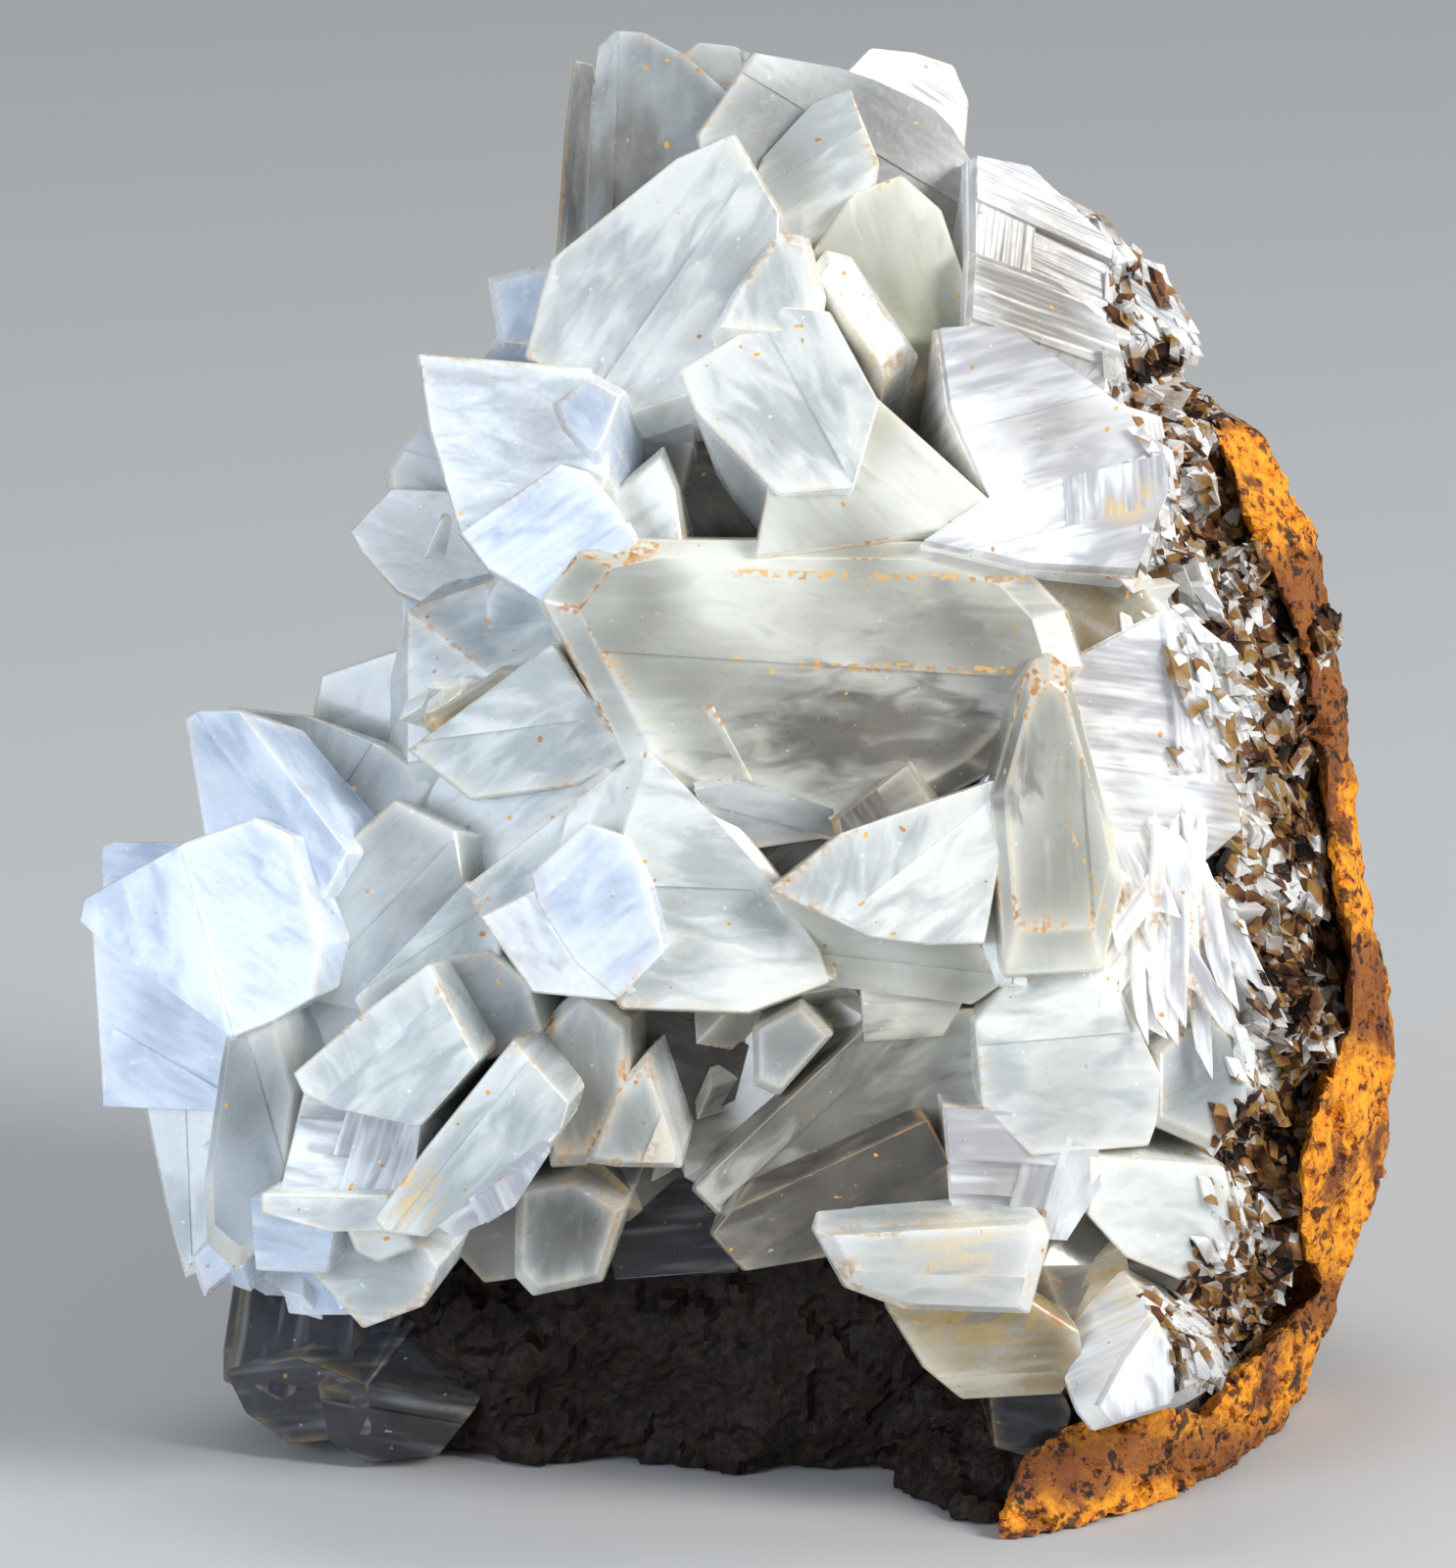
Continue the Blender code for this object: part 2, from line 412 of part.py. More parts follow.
# The crust is broken off in front of this depth, within this outline on the face. It never grew on the left.
CRUST_BREAK_DEPTH = -33.0
CRUST_BREAK_REACH = 38.0
CRUST_BREAK = (
    (21.5, 1.5), (24, 6.5), (28.8, 9), (35.2, 10.6), (38.4, 9), (41, 12.5), (46.5, 17), (49, 19.5),
    (47, 22.5), (46.4, 28), (47.2, 33), (49.2, 37.5), (50.8, 41), (51, 47), (49.8, 52), (49, 57),
    (48.6, 62), (47.6, 67), (47, 71), (45.4, 76), (43.2, 80), (41.6, 84), (40.4, 88), (38, 92),
    (35.8, 96), (30, 130), (-80, 130), (-80, -40), (19, -40),
)
CRUST_LEFT_END = (
    (-14, 140), (-11, 96), (-16, 80), (-12, 66), (-20, 52), (-16, 40), (-24, 26), (-21, 12), (-26, -40),
    (-90, -40), (-90, 140),
)
BREAK_BACK = -100
BREAK_FRONT = 40

# The box that cuts the specimen's foot flat: across, down and away.
STAND_SIZE = (240.0, 80.0, 300.0)

# Small crystals that cover the sides, the top and the back of the left wing, inside this outline.
SIDE_SEED = 11
SIDE_CRYSTALS = 44
SIDE_SIZE = (5.0, 9.5)
SIDE_WIDTH = 0.8
SIDE_FLATNESS = 0.5
SIDE_SINK = 0.94
SIDE_ACROSS = (-1, 0.15)
SIDE_UP = (-0.7, 1)
SIDE_OUT = (-1, 0.1)
SIDE_SWING = 0.8
CLEAVAGE_SHEAR = 0.27
OUTLINE = (
    (-26.8, 5.8), (-36.6, 7.4), (-42, 12.6), (-41.8, 21), (-44.6, 21.2), (-48, 35.2), (-51, 35.2),
    (-53, 49.8), (-51.4, 55.4), (-43, 56.2), (-44.6, 66), (-34.9, 66.4), (-33.6, 69.6), (-27.4, 72.2),
    (-31, 81.4), (-26.6, 89), (-25.4, 95.6), (-20, 102), (-14.7, 104.4), (-11, 121.2), (2, 120.6),
    (18, 119.6), (23, 110.8), (33.2, 103), (37.2, 96), (30, 60), (30, 5),
)

# Cleaved splinters on the right edges of the white calcite, and the flaky rubble on the rock beside it.
SPLINTER_SEED = 5
SPLINTERS_EACH = 3
SPLINTER_SIZE = (3.0, 5.5)
SPLINTER_RIM = 0.9
SPLINTER_DEPTH = -1.5
RUBBLE_SEED = 23
RUBBLE = 32
RUBBLE_SIZE = (3.0, 6.5)
RUBBLE_FROM = 12
RUBBLE_TO = 102
RUBBLE_ARC = (24, 62)
RUBBLE_SINK = 0.5
GRAINS = (Vector((0.5, 0.3, 0.8)).normalized(), Vector((0.2, -0.7, 0.6)).normalized())
GRAIN_SWING = 0.6
BIT_WIDTH = (0.4, 0.8)
BIT_FLATNESS = (0.3, 0.7)


def face_to_world():
    """The turn from the layout on the face to the standing specimen: X across, Y away, Z up."""
    lean = math.radians(FACE_LEAN)
    across = Vector((1, 0, 0))
    up = Vector((0, math.sin(lean), math.cos(lean)))
    out = Vector((0, -math.cos(lean), math.sin(lean)))
    return Matrix.Scale(MM, 4) @ Matrix((across, up, out)).transposed().to_4x4()


def new_object(name, mesh, collection):
    """A mesh as an object in a collection."""
    made = bpy.data.objects.new(name, mesh)
    collection.objects.link(made)
    return made


def mesh_from(name, work):
    """A bmesh as a mesh with its faces pointing out."""
    bmesh.ops.recalc_face_normals(work, faces=work.faces)
    mesh = bpy.data.meshes.new(name)
    work.to_mesh(mesh)
    work.free()
    return mesh


def outline_ring(crystal, size, middle, push):
    """The crystal's outline, drawn in or out about a middle and laid on its turned plane, pushed out by push."""
    centre = outline_middle(crystal)
    turn_across, turn_up = crystal.turn
    ring = []
    for across, up in crystal.outline:
        spot = middle + (Vector((across, up)) - centre) * size
        offset = spot - centre
        out = crystal.out - turn_across * offset.x - turn_up * offset.y
        ring.append(Vector((spot.x, spot.y, out + push)))
    return ring


def outline_middle(crystal):
    """The middle of an outline, across and up."""
    total = Vector((0, 0))
    for point in crystal.outline:
        total += Vector(point)
    return total / len(crystal.outline)


def hull_mesh(name, points):
    """The flat-faced body around a set of points."""
    work = bmesh.new()
    for point in points:
        work.verts.new(point)
    hull = bmesh.ops.convex_hull(work, input=work.verts)
    spare = [item for item in hull["geom_interior"] if isinstance(item, bmesh.types.BMVert)]
    bmesh.ops.delete(work, geom=spare, context="VERTS")
    return mesh_from(name, work)


def crystal_mesh(crystal):
    """A crystal: its end face, a rim as thick as the crystal and a root drawn in towards the heart."""
    centre = outline_middle(crystal)
    root_middle = centre.lerp(HEART.xy, ROOT_PULL)
    points = outline_ring(crystal, 1.0, centre, 0.0)
    points += outline_ring(crystal, RIM_SIZE, centre, -crystal.thick)
    if crystal.cap < 1.0:
        points += outline_ring(crystal, crystal.cap, centre, CAP_RISE)
    for across, up in crystal.outline[::2]:
        spot = root_middle + (Vector((across, up)) - centre) * ROOT_SIZE
        points.append(Vector((spot.x, spot.y, min(ROOT_DEPTH, crystal.out - ROOT_CLEAR))))
    return hull_mesh(crystal.name, points)


def lump_mesh(lump, detail=1):
    """A lump as a ball with twenty flat faces, or with smaller ones at a higher detail."""
    work = bmesh.new()
    bmesh.ops.create_icosphere(work, subdivisions=detail, radius=1.0)
    place = Matrix.Translation(lump.middle) @ Matrix.Diagonal((*lump.radii, 1))
    bmesh.ops.transform(work, matrix=place, verts=work.verts)
    return mesh_from("lump", work)


def boulder_mesh(corners, swell=0.0):
    """A boulder around its corners, each pushed away from the middle by swell."""
    spots = [Vector(corner) for corner in corners]
    middle = sum(spots, Vector()) / len(spots)
    return hull_mesh("boulder", [spot + (spot - middle).normalized() * swell for spot in spots])


def rhomb_mesh(middle, turn, sizes):
    """A cleavage rhomb: a box pushed over along two of its axes."""
    work = bmesh.new()
    bmesh.ops.create_cube(work, size=1.0)
    shear = Matrix(((1, CLEAVAGE_SHEAR, CLEAVAGE_SHEAR, 0), (0, 1, CLEAVAGE_SHEAR, 0), (0, 0, 1, 0), (0, 0, 0, 1)))
    place = Matrix.Translation(middle) @ turn.to_matrix().to_4x4() @ Matrix.Diagonal((*sizes, 1)) @ shear
    bmesh.ops.transform(work, matrix=place, verts=work.verts)
    return mesh_from("rhomb", work)


def level_at(levels, up):
    """The rock's reach at a height, read from a smooth step between the two nearest levels."""
    if up <= levels[0].up:
        return levels[0]
    for low, high in zip(levels, levels[1:]):
        if up <= high.up:
            share = (up - low.up) / (high.up - low.up)
            return Level(*(a + (b - a) * share for a, b in zip(low, high)))
    return levels[-1]


def relief(spot, lump_height, grain_height):
    """How far a rock stands proud at a point: broad lumps, and a grain of small flat ledges."""
    broad = noise.fractal(spot / ROCK_LUMP_SPACING, 1.0, 2.0, 2)
    grain = noise.cell(spot / ROCK_GRAIN_SPACING)
    return lump_height * broad + grain_height * (grain - 0.5)


def rock_mesh(levels, lump_height, grain_height, swell=0.0):
    """A rock from a sphere whose rings take their reach from the levels, swollen by a few tenths for a cutter."""
    work = bmesh.new()
    bmesh.ops.create_uvsphere(work, u_segments=ROCK_SIDES, v_segments=ROCK_RINGS, radius=1.0)
    bottom, top = levels[0].up, levels[-1].up
    for vertex in work.verts:
        height = math.asin(max(-1.0, min(1.0, vertex.co.z))) / math.pi + 0.5
        reach = level_at(levels, bottom + (top - bottom) * height)
        angle = math.atan2(vertex.co.y, vertex.co.x)
        flat_end = min(1.0, ROCK_END_WIDENING * min(height, 1.0 - height) + ROCK_END_SIZE)
        cosine, sine = math.cos(angle), math.sin(angle)
        round_off = (abs(cosine) ** ROCK_SQUARENESS + abs(sine) ** ROCK_SQUARENESS) ** (-1 / ROCK_SQUARENESS)
        middle = Vector(((reach.left + reach.right) / 2, 0, (reach.back + reach.front) / 2))
        half = Vector(((reach.right - reach.left) / 2, 0, (reach.front - reach.back) / 2))
        spoke = Vector((cosine * half.x, 0, sine * half.z)) * round_off * flat_end
        spot = middle + spoke + Vector((0, bottom + (top - bottom) * height, 0))
        outward = spoke.normalized() if spoke.length > MERGE else Vector((0, 1 if height > 0.5 else -1, 0))
        vertex.co = spot + outward * relief(spot, lump_height, grain_height) * flat_end
    bmesh.ops.triangulate(work, faces=work.faces)
    bmesh.ops.recalc_face_normals(work, faces=work.faces)
    work.normal_update()
    for vertex, normal in [(vertex, vertex.normal.copy()) for vertex in work.verts]:
        vertex.co += normal * swell
    return mesh_from("rock", work)


def box_mesh(middle, size, turn):
    """A box of a size, turned and placed."""
    work = bmesh.new()
    bmesh.ops.create_cube(work, size=1.0)
    place = Matrix.Translation(middle) @ turn @ Matrix.Diagonal((*size, 1))
    bmesh.ops.transform(work, matrix=place, verts=work.verts)
    return mesh_from("box", work)


def outline_mesh(name, outline, back, front):
    """An outline on the face as a solid between two depths."""
    curve = bpy.data.curves.new(name, "CURVE")
    curve.dimensions = "2D"
    curve.fill_mode = "BOTH"
    curve.extrude = (front - back) / 2
    spline = curve.splines.new("POLY")
    spline.points.add(len(outline) - 1)
    for point, (across, up) in zip(spline.points, outline):
        point.co = (across, up, 0, 1)
    spline.use_cyclic_u = True
    bent = bpy.data.objects.new(name, curve)
    mesh = bpy.data.meshes.new_from_object(bent)
    bpy.data.objects.remove(bent)
    mesh.transform(Matrix.Translation((0, 0, (front + back) / 2)))
    work = bmesh.new()
    work.from_mesh(mesh)
    bmesh.ops.remove_doubles(work, verts=work.verts, dist=MERGE)
    return mesh_from(name, work)


def inside(outline, across, up):
    """Whether a point lies in an outline."""
    found = False
    for (x0, y0), (x1, y1) in zip(outline, outline[1:] + outline[:1]):
        if (y0 > up) != (y1 > up) and across < x0 + (up - y0) / (y1 - y0) * (x1 - x0):
            found = not found
    return found


def all_inside(mesh, outline):
    """Whether a whole mesh, seen from the front, lies in an outline."""
    return all(inside(outline, vertex.co.x, vertex.co.y) for vertex in mesh.vertices)


def side_rhombs():
    """Small rhombs on the lumps of the left wing, the shoulder and the crest, where no named crystal reaches."""
    draw = random.Random(SIDE_SEED)
    made = []
    hosts = (HEART_LUMPS[0], HEART_LUMPS[2], HEART_LUMPS[3], HEART_LUMPS[4], HEART_LUMPS[0])
    while len(made) < SIDE_CRYSTALS:
        lump = hosts[len(made) % len(hosts)]
        way = Vector((draw.uniform(*SIDE_ACROSS), draw.uniform(*SIDE_UP), draw.uniform(*SIDE_OUT))).normalized()
        radii = Vector(lump.radii)
        spot = Vector(lump.middle) + Vector((way.x * radii.x, way.y * radii.y, way.z * radii.z)) * SIDE_SINK
        size = draw.uniform(*SIDE_SIZE)
        turn = way.to_track_quat("X", "Z")
        turn.rotate(Matrix.Rotation(draw.uniform(-SIDE_SWING, SIDE_SWING), 3, way).to_euler())
        mesh = rhomb_mesh(spot, turn, (size, size * SIDE_WIDTH, size * SIDE_FLATNESS))
        if all_inside(mesh, OUTLINE):
            made.append(mesh)
    return made


def grained_rhomb(draw, spot, index, sizes, swell=0.0):
    """A cleaved bit that shares one of the grains' orientations, turned a little out of true."""
    turn = GRAINS[index % len(GRAINS)].to_track_quat("Z", "Y")
    turn.rotate(Matrix.Rotation(draw.uniform(-GRAIN_SWING, GRAIN_SWING), 3, "Z").to_euler())
    long = draw.uniform(*sizes)
    wide = long * draw.uniform(*BIT_WIDTH)
    flat = long * draw.uniform(*BIT_FLATNESS)
    return rhomb_mesh(spot, turn, (long + 2 * swell, wide + 2 * swell, flat + 2 * swell))


def border_splinters():
    """Cleaved splinters that break up the right edges of the white calcite."""
    draw = random.Random(SPLINTER_SEED)
    made = []
    for crystal in CLEAVED:
        rim = outline_ring(crystal, SPLINTER_RIM, outline_middle(crystal), SPLINTER_DEPTH)
        rim.sort(key=lambda spot: -spot.x)
        for index, spot in enumerate(rim[:SPLINTERS_EACH]):
            made.append(grained_rhomb(draw, spot, index, SPLINTER_SIZE))
    return made


def rock_rubble(swell=0.0):
    """Flaky bits that stand out of the rock where it shows on the right."""
    draw = random.Random(RUBBLE_SEED)
    made = []
    for index in range(RUBBLE):
        up = RUBBLE_FROM + (RUBBLE_TO - RUBBLE_FROM) * (index + draw.random()) / RUBBLE
        reach = level_at(ROCK_LEVELS, up)
        angle = math.radians(draw.uniform(*RUBBLE_ARC))
        cosine, sine = math.cos(angle), math.sin(angle)
        round_off = (cosine ** ROCK_SQUARENESS + sine ** ROCK_SQUARENESS) ** (-1 / ROCK_SQUARENESS)
        across = (reach.right + reach.left) / 2 + (reach.right - reach.left) / 2 * cosine * round_off
        out = (reach.front + reach.back) / 2 + (reach.front - reach.back) / 2 * sine * round_off
        spot = Vector((across - RUBBLE_SINK, up, out - RUBBLE_SINK))
        made.append(grained_rhomb(draw, spot, index, RUBBLE_SIZE, swell))
    return made


def keep_main_body(work):
    """Removes the chips and pockets that the cuts left apart from the main body."""
    waiting = set(work.faces)
    bodies = []
    while waiting:
        edge_of_growth = [waiting.pop()]
        body = list(edge_of_growth)
        while edge_of_growth:
            face = edge_of_growth.pop()
            for edge in face.edges:
                for neighbour in edge.link_faces:
                    if neighbour in waiting:
                        waiting.remove(neighbour)
                        body.append(neighbour)
                        edge_of_growth.append(neighbour)
        bodies.append(body)
    bodies.sort(key=len)
    spare = [face for body in bodies[:-1] for face in body]
    bmesh.ops.delete(work, geom=spare, context="FACES")


def boolean(target, operation, cutter, solver="EXACT"):
    """Joins a mesh with, or cuts it by, another mesh or a collection of them, and bakes the result."""
    modifier = target.modifiers.new(operation.title(), "BOOLEAN")
    modifier.operation = operation
    modifier.solver = solver
    if isinstance(cutter, bpy.types.Collection):
        modifier.operand_type = "COLLECTION"
        modifier.collection = cutter
    else:
        modifier.object = cutter
    bpy.context.view_layer.update()
    graph = bpy.context.evaluated_depsgraph_get()
    mesh = bpy.data.meshes.new_from_object(target.evaluated_get(graph))
    target.modifiers.clear()
    work = bmesh.new()
    work.from_mesh(mesh)
    bmesh.ops.remove_doubles(work, verts=work.verts, dist=MERGE)
    keep_main_body(work)
    work.to_mesh(mesh)
    target.data = mesh
    work.free()


def crust_body(name, collection, helpers, swell=0.0):
    """The crust with no room in it for the rock: its shell and foot, broken off in front and on the left."""
    shell = rock_mesh(CRUST_LEVELS, CRUST_LUMP_HEIGHT, CRUST_GRAIN_HEIGHT, swell)
    body = new_object(name, shell, collection)
    foot = new_object("foot_crust", boulder_mesh(FOOT_CRUST, swell * 2), helpers)
    drawn_in = 1 - swell / CRUST_BREAK_REACH
    outline = [tuple(HEART.xy.lerp(Vector(point), drawn_in)) for point in CRUST_BREAK]
    front = outline_mesh("crust_break", outline, CRUST_BREAK_DEPTH + swell, BREAK_FRONT)
    end = [(across - swell, up) for across, up in CRUST_LEFT_END]
    left = outline_mesh("crust_end", end, BREAK_BACK, BREAK_FRONT)
    boolean(body, "UNION", foot)
    boolean(body, "DIFFERENCE", new_object("crust_break", front, helpers))
    boolean(body, "DIFFERENCE", new_object("crust_end", left, helpers))
    return body


def stand_cutter(helpers):
    """A box below the surface that the specimen stands on, in the layout of the face."""
    turn = Matrix.Rotation(math.radians(FACE_LEAN), 4, "X")
    middle = turn @ Vector((0, -STAND_SIZE[1] / 2, 0))
    return new_object("stand_cutter", box_mesh(middle, STAND_SIZE, turn), helpers)


def finish_piece(piece, colour, roughness):
    """Joins the flat parts of its faces, stands a piece up and gives it its material."""
    mesh = piece.data
    work = bmesh.new()
    work.from_mesh(mesh)
    bmesh.ops.dissolve_limit(
        work, angle_limit=FLATNESS, use_dissolve_boundaries=False, verts=work.verts, edges=work.edges
    )
    work.to_mesh(mesh)
    work.free()
    mesh.transform(face_to_world())
    material = bpy.data.materials.new(piece.name)
    material.use_nodes = True
    shader = material.node_tree.nodes["Principled BSDF"]
    shader.inputs["Base Color"].default_value = (*colour, 1)
    shader.inputs["Roughness"].default_value = roughness
    shader.inputs["Metallic"].default_value = 0.0
    mesh.materials.clear()
    mesh.materials.append(material)


def centre_over_origin(pieces):
    """Moves the pieces across the ground so that the origin is under the middle of the whole specimen."""
    corners = [vertex.co for piece in pieces for vertex in piece.data.vertices]
    middle_x = (min(co.x for co in corners) + max(co.x for co in corners)) / 2
    middle_y = (min(co.y for co in corners) + max(co.y for co in corners)) / 2
    for piece in pieces:
        piece.data.transform(Matrix.Translation((-middle_x, -middle_y, 0)))


def main():
    """Builds the calcite, the ironstone and the limonite crust."""
    for old in list(bpy.data.objects):
        bpy.data.objects.remove(old)
    specimen = bpy.data.collections.new("calcite_specimen")
    helpers = bpy.data.collections.new("cutters")
    growth = bpy.data.collections.new("growth")
    rubble = bpy.data.collections.new("rubble")
    rubble_space = bpy.data.collections.new("rubble_space")
    for group in (specimen, helpers, growth, rubble, rubble_space):
        bpy.context.scene.collection.children.link(group)

    for crystal in CRYSTALS:
        new_object(crystal.name, crystal_mesh(crystal), growth)
    for lump in HEART_LUMPS[1:]:
        new_object("heart", lump_mesh(lump), growth)
    for mesh in side_rhombs() + border_splinters():
        new_object("rhomb", mesh, growth)

    stand = stand_cutter(helpers)
    hollow = new_object("hollow_cutter", lump_mesh(Lump(HOLLOW_MIDDLE, HOLLOW_RADII), HOLLOW_ROUNDNESS), helpers)
    foot = new_object("foot", boulder_mesh(FOOT), helpers)
    foot_space = new_object("foot_space", boulder_mesh(FOOT, FOOT_GAP), helpers)
    for mesh in rock_rubble():
        new_object("rubble", mesh, rubble)
    for mesh in rock_rubble(BASE_GAP):
        new_object("rubble_space", mesh, rubble_space)
    space = rock_mesh(ROCK_LEVELS, ROCK_LUMP_HEIGHT, ROCK_GRAIN_HEIGHT, BASE_GAP)
    rock_space = new_object("rock_space", space, helpers)
    boolean(rock_space, "UNION", foot_space)
    boolean(rock_space, "UNION", rubble_space)

    calcite = new_object("calcite_crystals", lump_mesh(HEART_LUMPS[0]), specimen)
    boolean(calcite, "UNION", growth)
    for cutter in (stand, rock_space, crust_body("crust_space", helpers, helpers, BASE_GAP)):
        boolean(calcite, "DIFFERENCE", cutter)

    rock = new_object("ironstone_matrix", rock_mesh(ROCK_LEVELS, ROCK_LUMP_HEIGHT, ROCK_GRAIN_HEIGHT), specimen)
    boolean(rock, "DIFFERENCE", hollow)
    boolean(rock, "UNION", foot)
    boolean(rock, "UNION", rubble)
    boolean(rock, "DIFFERENCE", stand)

    crust = crust_body("limonite_crust", specimen, helpers)
    boolean(crust, "DIFFERENCE", stand)
    boolean(crust, "DIFFERENCE", rock_space, "MANIFOLD")

    finish_piece(calcite, CALCITE_COLOUR, CALCITE_ROUGHNESS)
    finish_piece(rock, ROCK_COLOUR, ROCK_ROUGHNESS)
    finish_piece(crust, CRUST_COLOUR, CRUST_ROUGHNESS)
    centre_over_origin((calcite, rock, crust))
    for group in (helpers, growth, rubble, rubble_space):
        for helper in group.objects:
            helper.hide_render = True
            helper.display_type = "WIRE"


main()
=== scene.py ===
"""The looks of the calcite specimen: milky rhombs, white cleaved calcite, dark vein rock and orange crust.

Everything is laid out on the specimen's face in millimetres: "across" runs to the right, "up" runs up the
face and "out" runs towards the person who looks at it. The face leans back by FACE_LEAN degrees.
"""

import json
import logging
import math
import random
from dataclasses import dataclass, field
from enum import Enum
from typing import Callable, NamedTuple, Sequence

import bmesh
import bpy
from mathutils import Matrix, Quaternion, Vector, noise

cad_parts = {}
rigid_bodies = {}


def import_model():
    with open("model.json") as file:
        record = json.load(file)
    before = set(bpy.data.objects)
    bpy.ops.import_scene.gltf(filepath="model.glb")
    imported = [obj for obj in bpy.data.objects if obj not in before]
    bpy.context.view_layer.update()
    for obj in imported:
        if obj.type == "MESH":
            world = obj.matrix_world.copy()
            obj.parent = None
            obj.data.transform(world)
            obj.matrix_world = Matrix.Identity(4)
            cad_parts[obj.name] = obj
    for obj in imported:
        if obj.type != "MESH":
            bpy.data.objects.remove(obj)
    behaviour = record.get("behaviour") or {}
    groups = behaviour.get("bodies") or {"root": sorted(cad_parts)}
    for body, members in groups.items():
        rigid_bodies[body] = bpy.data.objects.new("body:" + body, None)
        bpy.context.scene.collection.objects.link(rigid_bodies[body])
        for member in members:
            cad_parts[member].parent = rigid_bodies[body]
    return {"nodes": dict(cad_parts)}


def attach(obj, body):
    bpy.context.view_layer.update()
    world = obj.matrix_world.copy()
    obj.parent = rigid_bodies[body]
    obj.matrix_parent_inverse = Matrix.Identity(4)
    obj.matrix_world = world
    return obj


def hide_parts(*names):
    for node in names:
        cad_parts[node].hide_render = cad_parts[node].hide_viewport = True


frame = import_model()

log = logging.getLogger("calcite")

Colour = tuple[float, float, float]
Spot = tuple[float, float]

# A millimetre of the layout, in metres.
MM = 0.001
FACE_LEAN = 15.0
# Where the origin of the layout lies from the middle of the specimen's foot.
SHIFT_X = 0.629
SHIFT_Y = 36.039
# The place that all crystals grew out from, and the two ways in which the white calcite splits.
HEART = Vector((6.0, 56.0, -24.0))
GRAINS = (Vector((0.5, 0.3, 0.8)).normalized(), Vector((0.2, -0.7, 0.6)).normalized())
# The shear that turns a box into a cleavage rhomb.
CLEAVAGE_SHEAR = 0.27
CLEAVAGE = Matrix((
    (1, CLEAVAGE_SHEAR, CLEAVAGE_SHEAR, 0), (0, 1, CLEAVAGE_SHEAR, 0), (0, 0, 1, 0), (0, 0, 0, 1),
))
# How deep smoky patches and stains reach into the specimen.
PATCH_DEPTH = 40.0
# Where the white calcite gives way to the rock: across and up at its turn, and its slopes above and below.
RIM_TURN = (41.5, 50.0)
RIM_SLOPE_ABOVE = 0.25
RIM_SLOPE_BELOW = 0.2
# How high above the floor the strewn bits begin, in metres.
LOWEST_BIT = 0.0024
# How finely the brown patches among the white bits vary, to a millimetre, and the noise that they start at.
PATCH_GRAIN = 0.13
PATCH_START = -0.04
# The part of the layout in which rock shows: the least across, up and out, and the least tilt of its faces.
SHOWN_FROM = (30.0, 8.0, -36.0)
SHOWN_TILT = 0.1
# Points closer than this are one point: in the CAD mesh and in the grown calcite, in metres and millimetres.
SAME_POINT = 0.00001
WELD = 0.0001


class Kind(Enum):
    """The kinds of calcite on the specimen, by how they look."""

    PALE = "pale"
    BLUE = "blue"
    GREY = "grey"
    GREENISH = "greenish"
    # Smoky calcite, its dark colour partly painted shade where it sits low or in recesses.
    SMOKY = "smoky"
    WHITE = "white"
    AMBER = "amber"
    # Calcite painted near black as painted shade, where it lies in the shade of the underside and of the
    # recess below the middle.
    DARK = "dark"


class Crystal(NamedTuple):
    """One crystal: the outline of its end face, how far out that face stands and how its face is turned.

    The crystal is as thick as a tablet. A cap below 1 draws its end face in and leaves a bevel around it.
    """

    name: str
    kind: Kind
    out: float
    turn: Spot
    outline: tuple[Spot, ...]
    thick: float = 4.0
    cap: float = 1.0


class Lump(NamedTuple):
    """A lump of the massive calcite that the crystals grew from."""

    kind: Kind
    middle: Colour
    radii: Colour


class Patch(NamedTuple):
    """A smoky cloud, partly painted shade, or a stain of the calcite: its middle and reach on the face, and
    how strong it is.
    """

    middle: Spot
    reach: Spot
    strength: float


class Seam(NamedTuple):
    """A dotted orange line along a ridge: where it starts and ends across, its height there and its slope."""

    start: float
    end: float
    height: float
    slope: float


